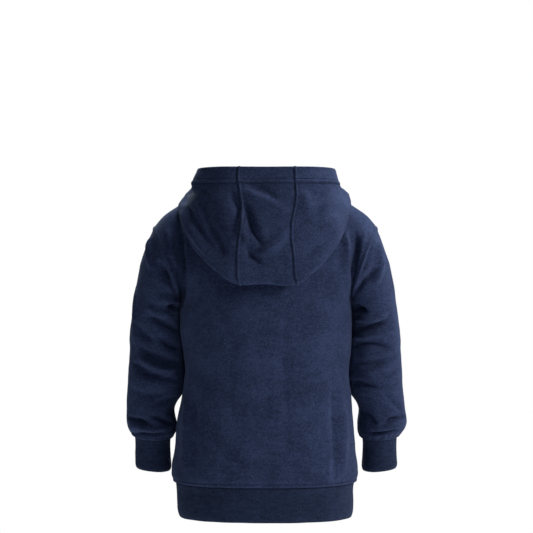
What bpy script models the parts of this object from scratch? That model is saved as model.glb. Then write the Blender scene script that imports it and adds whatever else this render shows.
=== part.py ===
"""A toddler's pullover hoodie, filled out as if worn, with its hood down.

Metres, +Z up, the front towards -Y and the wearer's left at +X. The origin is in
the neck opening, level with the back of the neckline. Each cut-and-sewn piece is a
cloth wall of its own, worked out from sections of the garment.
"""

import math
from collections import namedtuple

import bpy
import numpy as np

# --- Driving dimensions -------------------------------------------------------

FLEECE = 0.0020
KNIT = 0.0028
SEAM_GAP = 0.0003
PANEL_INSET = 0.6 * SEAM_GAP  # each panel's own share of a seam's gap, a little over half

NECK_HALF_WIDTH = 0.065
NECK_SHARE = 0.53  # the neckline's share of each panel's top edge
NECK_POINT_HEIGHT = 0.012
NECK_CENTRE_Y = -0.005
NECK_BACK_DEPTH = 0.050
NECK_FRONT_DEPTH = 0.055
NECK_BACK_DROP = 0.012
NECK_FRONT_DROP = 0.065

YOKE_START = 0.62  # where the armhole begins, as a share of a panel's height
UNDERARM_HEIGHT = -0.1166
UNDERARM_X = 0.1030
SHOULDER_X = 0.1338
SHOULDER_HEIGHT = -0.0314
ARMHOLE_HALF_DEPTH = 0.050
ARMHOLE_BOW = 0.0040
RIGHT_SHARE = 0.980  # the right shoulder sits this much nearer the middle

BODY_END = -0.3370
BAND_END = -0.3780
BODY_SQUARENESS = 2.5
SLEEVE_SQUARENESS = 2.15

PANEL_SEAM = 0.10  # where the hood's centre panel ends, as a share of half way round
HEM_START = 0.885  # where the hood's turned edge begins along each section
HEM_EXTRA = 0.0008

SLEEVE_CLEARANCE = 0.0009  # between a sleeve and the body's side
ARMHOLE_CLEARANCE = 0.0012  # how far a sleeve's start is moved off the armhole loop
OFF_ARMHOLE = (0.94, 0.0, -0.34)
SLEEVE_SETTLE = 0.30  # the share of a sleeve that follows the armhole loop
HALF_ROUND = 0.16  # half way across a panel and its height, for seam gaps as shares
PANEL_HEIGHT = 0.36
HOOD_HALF_ROUND = 0.40

# --- Sections -----------------------------------------------------------------

BodySection = namedtuple("BodySection", "height left right back front")
BODY_SECTIONS = (
    BodySection(-0.1166, 0.1030, 0.1009, 0.0840, 0.0790),
    BodySection(-0.1500, 0.1036, 0.1022, 0.0850, 0.0810),
    BodySection(-0.1800, 0.1004, 0.1010, 0.0840, 0.0830),
    BodySection(-0.2050, 0.0975, 0.0980, 0.0830, 0.0845),
    BodySection(-0.2350, 0.1012, 0.1010, 0.0835, 0.0865),
    BodySection(-0.2650, 0.1075, 0.1040, 0.0855, 0.0885),
    BodySection(-0.3000, 0.1100, 0.1065, 0.0880, 0.0905),
    BodySection(-0.3220, 0.1130, 0.1095, 0.0900, 0.0920),
    BodySection(-0.3320, 0.1122, 0.1088, 0.0895, 0.0915),
    BodySection(-0.3370, 0.1088, 0.1052, 0.0868, 0.0890),
)
BAND_SECTIONS = (
    BodySection(-0.3373, 0.1086, 0.1050, 0.0866, 0.0888),
    BodySection(-0.3420, 0.1078, 0.1040, 0.0858, 0.0880),
    BodySection(-0.3600, 0.1074, 0.1034, 0.0854, 0.0876),
    BodySection(-0.3730, 0.1064, 0.1026, 0.0846, 0.0868),
    BodySection(-0.3780, 0.1046, 0.1010, 0.0830, 0.0852),
)

ShoulderPoint = namedtuple("ShoulderPoint", "share x y height")
SHOULDER_SEAM = (
    ShoulderPoint(0.00, 0.0650, -0.0050, 0.0120),
    ShoulderPoint(0.28, 0.0850, -0.0045, 0.0045),
    ShoulderPoint(0.62, 0.1086, -0.0030, -0.0090),
    ShoulderPoint(0.85, 0.1245, -0.0010, -0.0205),
    ShoulderPoint(1.00, 0.1338, 0.0000, -0.0314),
)

SleeveSection = namedtuple(
    "SleeveSection", "share outer_x right_in outer_z inner_x inner_z y half_depth pitch"
)
SLEEVE_SECTIONS = (
    SleeveSection(0.00, 0.1338, 0.0000, -0.0314, 0.1038, -0.1172, 0.0000, 0.0500, 0.00),
    SleeveSection(0.06, 0.1395, 0.0010, -0.0430, 0.1040, -0.1195, -0.0006, 0.0498, 0.00),
    SleeveSection(0.13, 0.1455, 0.0022, -0.0590, 0.1040, -0.1235, -0.0020, 0.0485, 0.00),
    SleeveSection(0.21, 0.1515, 0.0030, -0.0800, 0.1040, -0.1310, -0.0045, 0.0462, 0.01),
    SleeveSection(0.30, 0.1568, 0.0032, -0.1050, 0.1038, -0.1420, -0.0080, 0.0436, 0.02),
    SleeveSection(0.39, 0.1612, 0.0034, -0.1310, 0.1030, -0.1560, -0.0120, 0.0412, 0.03),
    SleeveSection(0.48, 0.1646, 0.0038, -0.1570, 0.1008, -0.1730, -0.0155, 0.0390, 0.05),
    SleeveSection(0.57, 0.1650, 0.0030, -0.1810, 0.0988, -0.1905, -0.0185, 0.0374, 0.07),
    SleeveSection(0.66, 0.1665, 0.0030, -0.2045, 0.0982, -0.2105, -0.0215, 0.0360, 0.09),
    SleeveSection(0.75, 0.1680, 0.0034, -0.2280, 0.1030, -0.2310, -0.0245, 0.0348, 0.11),
    SleeveSection(0.84, 0.1694, 0.0016, -0.2510, 0.1118, -0.2515, -0.0272, 0.0342, 0.14),
    SleeveSection(0.91, 0.1690, -0.0006, -0.2690, 0.1106, -0.2700, -0.0292, 0.0330, 0.17),
    SleeveSection(0.96, 0.1652, 0.0008, -0.2790, 0.1120, -0.2815, -0.0304, 0.0290, 0.19),
    SleeveSection(1.00, 0.1604, 0.0016, -0.2835, 0.1162, -0.2865, -0.0310, 0.0228, 0.19),
)
CUFF_SECTIONS = (
    SleeveSection(0.00, 0.1602, 0.0016, -0.2838, 0.1163, -0.2868, -0.0311, 0.0226, 0.19),
    SleeveSection(0.20, 0.1594, 0.0014, -0.2910, 0.1170, -0.2940, -0.0325, 0.0218, 0.19),
    SleeveSection(0.60, 0.1596, 0.0014, -0.3080, 0.1166, -0.3110, -0.0355, 0.0218, 0.18),
    SleeveSection(0.90, 0.1596, 0.0004, -0.3210, 0.1160, -0.3245, -0.0378, 0.0218, 0.16),
    SleeveSection(1.00, 0.1584, 0.0004, -0.3238, 0.1172, -0.3273, -0.0384, 0.0206, 0.16),
)

# The hood's sections run from the middle of the back (0) round to the middle of the
# front (1): where its under layer ends on the body, its lowest fold and its open edge.
HoodSection = namedtuple(
    "HoodSection",
    "share lie_u lie_rise fold_left fold_right fold_y fold_z edge_x edge_y edge_z puff",
)
HOOD_SECTIONS = (
    HoodSection(0.00, 0.00, 0.18, 0.0000, 0.0000, 0.1045, -0.0985, 0.0000, 0.0800, 0.0385, 0.0110),
    HoodSection(0.10, 0.20, 0.19, 0.0335, 0.0330, 0.1035, -0.0990, 0.0322, 0.0785, 0.0388, 0.0110),
    HoodSection(0.20, 0.36, 0.27, 0.0570, 0.0540, 0.0970, -0.0850, 0.0560, 0.0700, 0.0390, 0.0105),
    HoodSection(0.30, 0.50, 0.42, 0.0790, 0.0740, 0.0820, -0.0640, 0.0735, 0.0540, 0.0385, 0.0095),
    HoodSection(0.40, 0.62, 0.66, 0.0970, 0.0915, 0.0570, -0.0370, 0.0810, 0.0350, 0.0370, 0.0050),
    HoodSection(0.50, 0.71, 0.95, 0.1130, 0.1095, 0.0190, -0.0090, 0.0800, 0.0080, 0.0320, 0.0005),
    HoodSection(0.60, 0.69, 0.85, 0.0985, 0.0945, -0.0280, -0.0050, 0.0745, -0.0180, 0.0225, 0.0020),
    HoodSection(0.70, 0.57, 0.65, 0.0815, 0.0800, -0.0540, -0.0190, 0.0630, -0.0390, 0.0075, 0.0050),
    HoodSection(0.80, 0.375, 0.57, 0.0590, 0.0585, -0.0700, -0.0375, 0.0460, -0.0560, -0.0135, 0.0065),
    HoodSection(0.90, 0.20, 0.64, 0.0330, 0.0330, -0.0775, -0.0520, 0.0260, -0.0670, -0.0350, 0.0060),
    HoodSection(1.00, 0.03, 0.72, 0.0050, 0.0050, -0.0765, -0.0590, 0.0035, -0.0735, -0.0455, 0.0040),
)
NECK_READ = 0.975  # how far up a panel its lie by the neckline is read
NECK_CLEARANCE = 0.0011  # between the neckline and the hood's seam
HOOD_STAND = 0.0085  # how high the hood stands at the neck seam before it turns over
HOOD_LIFT = 0.0054  # how far its under layer lies off the body
FRONT_STAND_LOSS = 0.3  # how much lower it stands at the front, as a share
HOOD_ROLL = 0.0080  # how far out it has come once it turns over
HOOD_MEETS = 0.97  # the share of the front neckline that each side of the hood covers
HOOD_KNOTS = (0.00, 0.04, 0.08, 0.13, 0.20, 0.27, 0.34, 0.40, 0.47, 0.53, 0.65, 0.81, 1.00)
HOOD_LIES = (0.00, 0.24, 0.50, 0.76, 1.00)  # places of the under layer, roll to fold
HOOD_LIE_START = 0.16
SHORT_ROLL = 0.35  # the roll's share of a short under layer, such as the front's
ROLL_TO_LIE = 1.7
PLY_GAP = 0.0035  # between the two layers where the hood lies flat round the front
FRONT_FOLD_OUT = 0.0030
FRONT_EDGE_RISE = 0.0065  # the front's open edge, above the roll and out from the neck
FRONT_EDGE_OVER = 0.0040
LIES_FLAT = (0.40, 0.54)  # the shares between which the hanging back gives way to this
SHOULDER_EASE = 0.06  # how widely a section over the shoulder is averaged, as a share
SHOULDER_EASE_WIDTH = 0.09  # how far round from the shoulder that averaging reaches
SHOULDER_LIFT = 0.0030  # how much further off the body the hood lies there
SEAM_KNOTS = 3  # a section's knots at the neck seam, which aren't averaged
EASE_STEPS = ((-1.0, 0.15), (-0.5, 0.22), (0.0, 0.26), (0.5, 0.22), (1.0, 0.15))

# --- Folds --------------------------------------------------------------------

# Seen from behind or in front: ends in x and z, relief outwards, and half width.
PanelFold = namedtuple("PanelFold", "x0 z0 x1 z1 relief width")
HOOD_FOLDS = (
    PanelFold(0.0930, 0.0080, 0.0780, -0.0280, -0.0055, 0.0070),
    PanelFold(0.0780, -0.0280, 0.0560, -0.0650, -0.0040, 0.0080),
    PanelFold(-0.0860, 0.0000, -0.0720, -0.0330, -0.0020, 0.0080),
    PanelFold(0.0290, 0.0130, -0.0230, -0.0130, 0.0045, 0.0085),
    PanelFold(0.0230, 0.0240, -0.0120, 0.0080, -0.0035, 0.0070),
    PanelFold(0.0270, -0.0080, 0.0060, -0.0500, -0.0045, 0.0080),
    PanelFold(0.0010, -0.0570, -0.0200, -0.0410, 0.0035, 0.0080),
    PanelFold(0.0390, 0.0000, 0.0300, -0.0180, -0.0040, 0.0060),
    PanelFold(-0.0370, -0.0210, -0.0600, -0.0110, -0.0030, 0.0080),
    PanelFold(-0.0380, -0.0580, -0.0610, -0.0470, -0.0030, 0.0080),
)
BACK_FOLDS = (
    PanelFold(0.1010, -0.0350, 0.0990, -0.1200, -0.0035, 0.0080),
    PanelFold(-0.0910, -0.0400, -0.0960, -0.1150, 0.0030, 0.0070),
    PanelFold(0.0850, -0.2100, 0.0840, -0.3200, -0.0040, 0.0100),
    PanelFold(-0.0800, -0.2250, -0.0800, -0.3250, -0.0035, 0.0090),
    PanelFold(0.0600, -0.2850, -0.0150, -0.3250, -0.0025, 0.0100),
    PanelFold(-0.0200, -0.2600, -0.0550, -0.3100, -0.0020, 0.0110),
)
FRONT_FOLDS = (
    PanelFold(0.0900, -0.1000, 0.0350, -0.1500, -0.0030, 0.0110),
    PanelFold(-0.0850, -0.1050, -0.0300, -0.1450, -0.0025, 0.0100),
    PanelFold(0.0820, -0.2250, 0.0780, -0.3200, -0.0040, 0.0100),
    PanelFold(-0.0780, -0.2100, -0.0800, -0.3150, -0.0035, 0.0100),
    PanelFold(-0.0500, -0.2950, 0.0150, -0.3200, -0.0025, 0.0100),
)

# Round a sleeve: 0 degrees is its outer side, 90 its back, 180 the side by the body.
SleeveFold = namedtuple("SleeveFold", "turn0 z0 turn1 z1 relief width")
LEFT_SLEEVE_FOLDS = (
    SleeveFold(95, -0.0750, 150, -0.1080, -0.0045, 0.0080),
    SleeveFold(40, -0.0450, 55, -0.0850, 0.0030, 0.0080),
    SleeveFold(20, -0.1700, 150, -0.1450, -0.0045, 0.0070),
    SleeveFold(15, -0.1900, 130, -0.1860, -0.0050, 0.0065),
    SleeveFold(30, -0.2080, 160, -0.2050, -0.0035, 0.0070),
    SleeveFold(190, -0.1750, 320, -0.1650, -0.0045, 0.0075),
    SleeveFold(210, -0.2200, 330, -0.2000, -0.0040, 0.0075),
    SleeveFold(0, -0.2640, 75, -0.2710, -0.0045, 0.0045),
    SleeveFold(70, -0.2560, 150, -0.2650, -0.0035, 0.0050),
    SleeveFold(200, -0.2640, 330, -0.2580, -0.0040, 0.0050),
)
RIGHT_SLEEVE_FOLDS = (
    SleeveFold(80, -0.0800, 160, -0.1200, -0.0050, 0.0080),
    SleeveFold(45, -0.0480, 50, -0.0950, 0.0035, 0.0080),
    SleeveFold(85, -0.1400, 165, -0.1290, -0.0060, 0.0060),
    SleeveFold(30, -0.1500, 150, -0.1620, -0.0040, 0.0070),
    SleeveFold(5, -0.1850, 140, -0.1760, -0.0050, 0.0065),
    SleeveFold(20, -0.2020, 120, -0.2050, -0.0035, 0.0070),
    SleeveFold(40, -0.2220, 165, -0.2280, -0.0040, 0.0070),
    SleeveFold(190, -0.1650, 320, -0.1780, -0.0045, 0.0075),
    SleeveFold(210, -0.2100, 330, -0.2250, -0.0040, 0.0075),
    SleeveFold(-10, -0.2620, 60, -0.2680, -0.0050, 0.0045),
    SleeveFold(80, -0.2700, 160, -0.2620, -0.0040, 0.0050),
    SleeveFold(200, -0.2620, 330, -0.2680, -0.0040, 0.0050),
)

PANEL_SIDE_FADE = (0.90, 0.98)  # a panel's folds fade out near its seams
PANEL_LOW_FADE = (0.00, 0.04)
PANEL_TOP_FADE = (0.92, 0.98)
HOOD_FOLDS_START = (0.50, 0.58)  # the hood's folds show on its hanging layer only
SLEEVE_RADIUS = 0.033  # turns an angle round a sleeve into a distance on its cloth

# --- Grid sizes ---------------------------------------------------------------

NECK_COLUMNS = 6
SHOULDER_COLUMNS = 5
BODY_ROWS = 13
YOKE_ROWS = 10  # half of AROUND_SLEEVE, so that both sides of the armhole seam match
AROUND_SLEEVE = 20
ALONG_SLEEVE = 26
ALONG_CUFF = 4
AROUND_BAND = 48
ALONG_BAND = 4
HOOD_SIDE_COLUMNS = 16
HOOD_CENTRE_COLUMNS = 5
HOOD_ROLL_ROWS = (0.00, 0.02, 0.04, 0.055, 0.07, 0.09)  # places along a section, as shares
HOOD_LYING_ROWS = (0.13, 0.20, 0.27, 0.34, 0.40)
HOOD_FOLD_ROWS = (0.43, 0.455, 0.48, 0.505, 0.53, 0.58)
HOOD_HANGING_ROWS = (0.65, 0.71, 0.77, 0.83)
HOOD_HEM_ROWS = (HEM_START, HEM_START + 0.01, 0.95, 1.00)

NAVY = (0.020, 0.028, 0.062, 1.0)
DARK_NAVY = (0.013, 0.018, 0.040, 1.0)


# --- Curves through tables ----------------------------------------------------


def through(knots, values, at):
    """A smooth curve through `values` (rows at `knots`), read at each place in `at`."""
    knots = np.asarray(knots, float)
    values = np.asarray(values, float)
    slopes = np.gradient(values, knots, axis=0)
    index = np.clip(np.searchsorted(knots, at, side="right") - 1, 0, len(knots) - 2)
    step = knots[index + 1] - knots[index]
    s = np.clip((at - knots[index]) / step, 0.0, 1.0)
    spread = (Ellipsis,) + (None,) * (values.ndim - 1)
    s, step = s[spread], step[spread]
    return (
        (2 * s**3 - 3 * s**2 + 1) * values[index]
        + (s**3 - 2 * s**2 + s) * step * slopes[index]
        + (3 * s**2 - 2 * s**3) * values[index + 1]
        + (s**3 - s**2) * step * slopes[index + 1]
    )


def columns_at(rows, key, at):
    """Every column of a table of named rows, read smoothly at each `at` of column `key`."""
    rows = sorted(rows, key=lambda row: getattr(row, key))
    table = through([getattr(row, key) for row in rows], rows, at)
    return type(rows[0])(*np.moveaxis(table, -1, 0))


def smooth_step(x, low, high):
    """0 below `low`, 1 above `high`, and an S between them."""
    s = np.clip((x - low) / (high - low), 0.0, 1.0)
    return s * s * (3.0 - 2.0 * s)


def half_turn(u, squareness):
    """Share across (-1 to 1) and away (0 to 1) on half a superellipse, evenly spaced in u."""
    dense = np.linspace(0.0, math.pi / 2, 400)
    across = np.sin(dense) ** (2 / squareness)
    away = np.cos(dense) ** (2 / squareness)
    length = np.concatenate([[0.0], np.cumsum(np.hypot(np.diff(across), 0.82 * np.diff(away)))])
    angle = np.interp(np.abs(u), length / length[-1], dense)
    return np.sign(u) * np.sin(angle) ** (2 / squareness), np.cos(angle) ** (2 / squareness)


# --- Surfaces of the body -----------------------------------------------------


def right_pulled_in(points):
    """The same points with the right half a little nearer the middle."""
    points[..., 0] *= np.where(points[..., 0] < 0, RIGHT_SHARE, 1.0)
    return points


def ring_half(sections, side, u, height):
    """Half a horizontal section of the body: side 1 is the back, -1 the front."""
    at = columns_at(sections, "height", height)
    across, away = half_turn(u, BODY_SQUARENESS)
    x = across * np.where(u > 0, at.left, at.right)
    y = side * away * (at.back if side > 0 else at.front)
    return np.stack([x, y, height + 0.0 * x], axis=-1)


def top_edge(side, u):
    """The neckline in the middle of a panel's top edge and its two shoulder seams."""
    depth = NECK_BACK_DEPTH if side > 0 else NECK_FRONT_DEPTH
    drop = NECK_BACK_DROP if side > 0 else NECK_FRONT_DROP
    turn = np.clip(np.abs(u) / NECK_SHARE, 0.0, 1.0) * math.pi / 2
    neck = np.stack(
        [
            NECK_HALF_WIDTH * np.sin(turn),
            NECK_CENTRE_Y + side * depth * np.cos(turn),
            NECK_POINT_HEIGHT - drop * np.cos(turn) ** 2,
        ],
        axis=-1,
    )
    share = np.clip((np.abs(u) - NECK_SHARE) / (1 - NECK_SHARE), 0.0, 1.0)
    seam = columns_at(SHOULDER_SEAM, "share", share)
    shoulder = np.stack([seam.x, seam.y, seam.height], axis=-1)
    edge = np.where((np.abs(u) > NECK_SHARE)[..., None], shoulder, neck)
    edge[..., 0] *= np.sign(u)
    return right_pulled_in(edge)


def armhole(turn):
    """The left armhole loop: 0 at the shoulder, a quarter turn at the back."""
    middle_x, half_x = (SHOULDER_X + UNDERARM_X) / 2, (SHOULDER_X - UNDERARM_X) / 2
    middle_z = (SHOULDER_HEIGHT + UNDERARM_HEIGHT) / 2
    half_z = (SHOULDER_HEIGHT - UNDERARM_HEIGHT) / 2
    return np.stack(
        [
            middle_x + half_x * np.cos(turn) - ARMHOLE_BOW * np.abs(np.sin(turn)),
            ARMHOLE_HALF_DEPTH * np.sin(turn),
            middle_z + half_z * np.cos(turn),
        ],
        axis=-1,
    )


def panel(side, u, v):
    """The front or back as a grid: u from right (-1) to left (1), v from seam to shoulder.

    Below the underarm each row is half a section. Above it the rows swing over the
    shoulder as quarter ellipses, and bulge at their ends to meet the armhole loop.
    """
    u, v = np.meshgrid(u, v)
    low = np.clip(v / YOKE_START, 0.0, 1.0)
    high = np.clip((v - YOKE_START) / (1 - YOKE_START), 0.0, 1.0)
    body = ring_half(BODY_SECTIONS, side, u, BODY_END + low * (UNDERARM_HEIGHT - BODY_END))
    start = ring_half(BODY_SECTIONS, side, u, np.full_like(u, UNDERARM_HEIGHT))
    end = top_edge(side, u)
    middle_roundness = 0.60 if side > 0 else 0.25
    roundness = middle_roundness + (1 - middle_roundness) * smooth_step(np.abs(u), 0.25, 0.60)
    turn = high * math.pi / 2
    rise = (1 - roundness) * high + roundness * np.sin(turn)
    lean = (1 - roundness) * high + roundness * (1 - np.cos(turn))
    swing = np.stack([high, lean, rise], axis=-1)
    yoke = start + (end - start) * swing
    rim = armhole(side * math.pi * (1 - high))
    rim[..., 0] *= np.sign(u)
    rim = right_pulled_in(rim)
    ends = np.sign(u) + (u == 0)
    rim_start = ring_half(BODY_SECTIONS, side, ends, np.full_like(u, UNDERARM_HEIGHT))
    chord = rim_start + (top_edge(side, ends) - rim_start) * np.stack(
        [high, 1 - np.cos(turn), np.sin(turn)], axis=-1
    )
    yoke += (rim - chord) * (np.abs(u) ** 3.2)[..., None]
    return np.where((v > YOKE_START)[..., None], yoke, body)


# --- Surfaces of the sleeves, cuffs, waistband and hood -----------------------


def sleeve_ring(sections, right, turn, share):
    """Grid of a sleeve or cuff: turn round it and share along it."""
    turn, share = np.meshgrid(turn, share)
    at = columns_at(sections, "share", share)
    outer_x = at.outer_x - right * at.right_in
    across, deep = np.cos(turn), np.sin(turn)
    power = 2 / SLEEVE_SQUARENESS
    across = np.sign(across) * np.abs(across) ** power
    deep = np.sign(deep) * np.abs(deep) ** power
    return np.stack(
        [
            (outer_x + at.inner_x) / 2 + across * (outer_x - at.inner_x) / 2,
            at.y + deep * at.half_depth,
            (at.outer_z + at.inner_z) / 2
            + across * (at.outer_z - at.inner_z) / 2
            - deep * at.half_depth * at.pitch,
        ],
        axis=-1,
    )


def body_side(right, y, z):
    """How far the body reaches to one side at each y and z below the underarm."""
    at = columns_at(BODY_SECTIONS, "height", np.clip(z, BODY_END, UNDERARM_HEIGHT))
    half = at.right if right else at.left
    depth = np.where(y > 0, at.back, at.front)
    inside = np.clip(1 - (np.abs(y) / depth) ** BODY_SQUARENESS, 0.0, 1.0)
    return half * inside ** (1 / BODY_SQUARENESS)


def sleeve(right, turn, share):
    """A sleeve: it starts on the armhole loop and lies just clear of the body's side."""
    grid = sleeve_ring(SLEEVE_SECTIONS, right, turn, share)
    loop = armhole(turn)
    first = sleeve_ring(SLEEVE_SECTIONS, 0.0, turn, np.zeros(1))[0]
    fade = (1 - smooth_step(share, 0.0, SLEEVE_SETTLE))[:, None, None]
    grid = grid + fade * (loop - first)
    grid = grid + fade * np.array(OFF_ARMHOLE) * ARMHOLE_CLEARANCE
    if right:
        grid[..., 0] *= 1 - (1 - RIGHT_SHARE) * fade[..., 0]
    limit = body_side(right, grid[..., 1], grid[..., 2]) + SLEEVE_CLEARANCE
    beside = grid[..., 2] < UNDERARM_HEIGHT + 0.004
    grid[..., 0] = np.where(beside, np.maximum(grid[..., 0], limit), grid[..., 0])
    return grid


def band(u, height):
    """The waistband: u runs once round, from the left side by the back."""
    u, height = np.meshgrid(u, height)
    back = ring_half(BAND_SECTIONS, 1, 1 - 2 * u, height)
    front = ring_half(BAND_SECTIONS, -1, 2 * u - 3, height)
    return np.where((u <= 1.0)[..., None], back, front)


def along_unit(vectors):
    """The same vectors, each with a length of one."""
    return vectors / np.linalg.norm(vectors, axis=-1, keepdims=True)


def panel_point(side, u, v):
    """Points of a panel at pairs of u and v, with the outward direction at each."""
    small = 1e-4
    v = np.minimum(v, 1 - 2 * small)
    pick = np.arange(len(u))
    point = panel(side, u, v)[pick, pick]
    across = panel(side, u + small, v)[pick, pick] - panel(side, u - small, v)[pick, pick]
    up = panel(side, u, v + small)[pick, pick] - panel(side, u, v - small)[pick, pick]
    return point, along_unit(side * np.cross(up, across))


def on_body(share, u, v):
    """Points on the back or front at pairs of u and v, and the way off the cloth at each."""
    back, back_out = panel_point(1, u, v)
    front, front_out = panel_point(-1, u, v)
    on_back = (share <= 0.5)[:, None]
    return np.where(on_back, back, front), np.where(on_back, back_out, front_out)


def neck_frame(share, neck_u, outward):
    """Points of the neckline, with the ways off the cloth and over it from each."""

    def line(u):
        on_back = (np.abs(share) <= 0.5)[:, None]
        return np.where(on_back, top_edge(1, u), top_edge(-1, u))

    small = 1e-4
    run = along_unit(line(neck_u + small) - line(neck_u - small))
    near_v = np.full_like(share, NECK_READ)
    _, back_off = panel_point(1, neck_u, near_v)
    _, front_off = panel_point(-1, neck_u, near_v)
    in_front = smooth_step(np.abs(share), 0.42, 0.58)[:, None]
    off = back_off + (front_off - back_off) * in_front
    off = along_unit(off - np.sum(off * run, axis=-1, keepdims=True) * run)
    over = np.cross(run, off)
    over *= np.sign(np.sum(over * outward, axis=-1, keepdims=True))
    return line(neck_u), off, over


def over_shoulder(share):
    """1 at each shoulder, falling off to both sides of it."""
    return np.exp(-(((np.abs(share) - 0.5) / SHOULDER_EASE_WIDTH) ** 2))


def hood_sections(share):
    """The points that each section of the hood passes through, by knot and share.

    A section stands at the neck seam, turns over, lies on the body, folds back up at
    its lowest point and ends at the face opening's edge. It is the wall's inner side,
    which the fold turns round.
    """
    side = np.sign(share) + (share == 0)
    reach = np.abs(share)
    at = columns_at(HOOD_SECTIONS, "share", reach)
    round_front = 1 - HOOD_MEETS * (2 * reach - 1)
    neck_u = side * NECK_SHARE * np.where(reach <= 0.5, 2 * reach, round_front)
    lie_u = side * at.lie_u
    outward = np.stack([np.sin(np.pi * share), np.cos(np.pi * share), 0 * reach], axis=-1)
    neck, off, over = neck_frame(share, neck_u, outward)
    stand = HOOD_STAND * (1 - FRONT_STAND_LOSS * reach)[:, None]
    flat = smooth_step(reach, *LIES_FLAT)[:, None]
    hood_lift = HOOD_LIFT + (SHOULDER_LIFT * over_shoulder(share))[:, None]
    fold_x = np.where(side > 0, at.fold_left, at.fold_right)
    fold = np.stack([side * fold_x, at.fold_y, at.fold_z], axis=-1) - outward * FLEECE
    edge = np.stack([side * at.edge_x, at.edge_y, at.edge_z], axis=-1) - outward * FLEECE

    def lie(part, lift):
        u = neck_u + (lie_u - neck_u) * part
        v = 1 - (1 - YOKE_START) * (1 - at.lie_rise) * part
        point, away = on_body(reach, u, v)
        straight = neck + (lie_end - neck) * part[:, None]
        sideways = point - straight
        sideways -= away * np.sum(sideways * away, axis=-1, keepdims=True)
        return point - sideways * flat + lift * away

    def upper_layer(part, puff, flat_part):
        hanging = fold + (edge - fold) * part + outward * (puff * at.puff)[:, None]
        return hanging + (lie(flat_part, hood_lift + PLY_GAP) - hanging) * flat

    every = np.ones_like(reach)
    lie_end, _ = on_body(reach, lie_u, 1 - (1 - YOKE_START) * (1 - at.lie_rise))
    lie_length = np.linalg.norm(lie_end - neck, axis=-1)
    roll = np.minimum(HOOD_ROLL, SHORT_ROLL * lie_length)
    start = np.maximum(HOOD_LIE_START, ROLL_TO_LIE * roll / lie_length)
    roll = roll[:, None]
    turned = lie(every, hood_lift + PLY_GAP / 2)
    turned += along_unit(turned - neck) * FRONT_FOLD_OUT
    front_edge = neck + off * (stand + FRONT_EDGE_RISE) + over * FRONT_EDGE_OVER
    knots = [
        neck + off * NECK_CLEARANCE - over * FLEECE,
        neck + off * stand + over * (0.2 * roll - 0.5 * FLEECE),
        neck + off * (0.75 * stand) + over * roll,
        *[lie(start + (1 - start) * part, hood_lift) for part in HOOD_LIES],
        fold + (turned - fold) * flat,
        upper_layer(0.07, 0.35, 0.93 * every),
        upper_layer(0.35, 1.0, 0.72 * every),
        upper_layer(0.68, 0.6, 0.40 * every),
        edge + (front_edge - edge) * flat,
    ]
    return np.stack(knots)


def hood(share, along):
    """The hood as a grid: share round it (-1 to 1, 0 at the back), along each section.

    Over the shoulders, where the hanging back gives way to the flat front, a section is
    the mean of its neighbours, so that the cloth turns without a corner.
    """
    spread = SHOULDER_EASE * over_shoulder(share)
    eased = sum(weight * hood_sections(share + step * spread) for step, weight in EASE_STEPS)
    eased[:SEAM_KNOTS] = hood_sections(share)[:SEAM_KNOTS]
    return through(HOOD_KNOTS, eased, along)


# --- Relief -------------------------------------------------------------------


def near_segment(a, b, a0, b0, a1, b1, width):
    """1 on a segment of the plane (a, b), falling off as a bell with this half width."""
    length = math.hypot(a1 - a0, b1 - b0)
    t = ((a - a0) * (a1 - a0) + (b - b0) * (b1 - b0)) / length**2
    beyond = np.clip(np.abs(t - 0.5) - 0.5, 0.0, None) * length
    off = np.abs((a - a0) * (b1 - b0) - (b - b0) * (a1 - a0)) / length
    taper = 1 - 0.45 * np.clip(2 * np.abs(t - 0.5), 0.0, 1.0) ** 2
    return taper * np.exp(-((off / width) ** 2) - (beyond / (0.8 * width)) ** 2)


def panel_relief(points, folds):
    """Height of a panel's folds at each point, measured in the upright plane."""
    relief = np.zeros(points.shape[:-1])
    for fold in folds:
        relief += fold.relief * near_segment(
            points[..., 0], points[..., 2], fold.x0, fold.z0, fold.x1, fold.z1, fold.width
        )
    return relief


def sleeve_relief(points, turn, folds):
    """Height of a sleeve's folds at each point, measured round it and down it."""
    scale = math.radians(1) * SLEEVE_RADIUS
    relief = np.zeros(points.shape[:-1])
    turn = np.degrees(turn)[None, :] + 0.0 * relief
    for fold in folds:
        middle = (fold.turn0 + fold.turn1) / 2
        nearest = middle + (turn - middle + 180) % 360 - 180
        relief += fold.relief * near_segment(
            nearest * scale,
            points[..., 2],
            fold.turn0 * scale,
            fold.z0,
            fold.turn1 * scale,
            fold.z1,
            fold.width,
        )
    return relief


# --- Walls --------------------------------------------------------------------


def outward_of(surface, first, second, flip):
    """The outward direction of a surface at each point of its grid."""
    small = 1e-4
    d_first = surface(first + small, second) - surface(first - small, second)
    d_second = surface(first, second + small) - surface(first, second - small)
    return flip * along_unit(np.cross(d_first, d_second))


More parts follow.
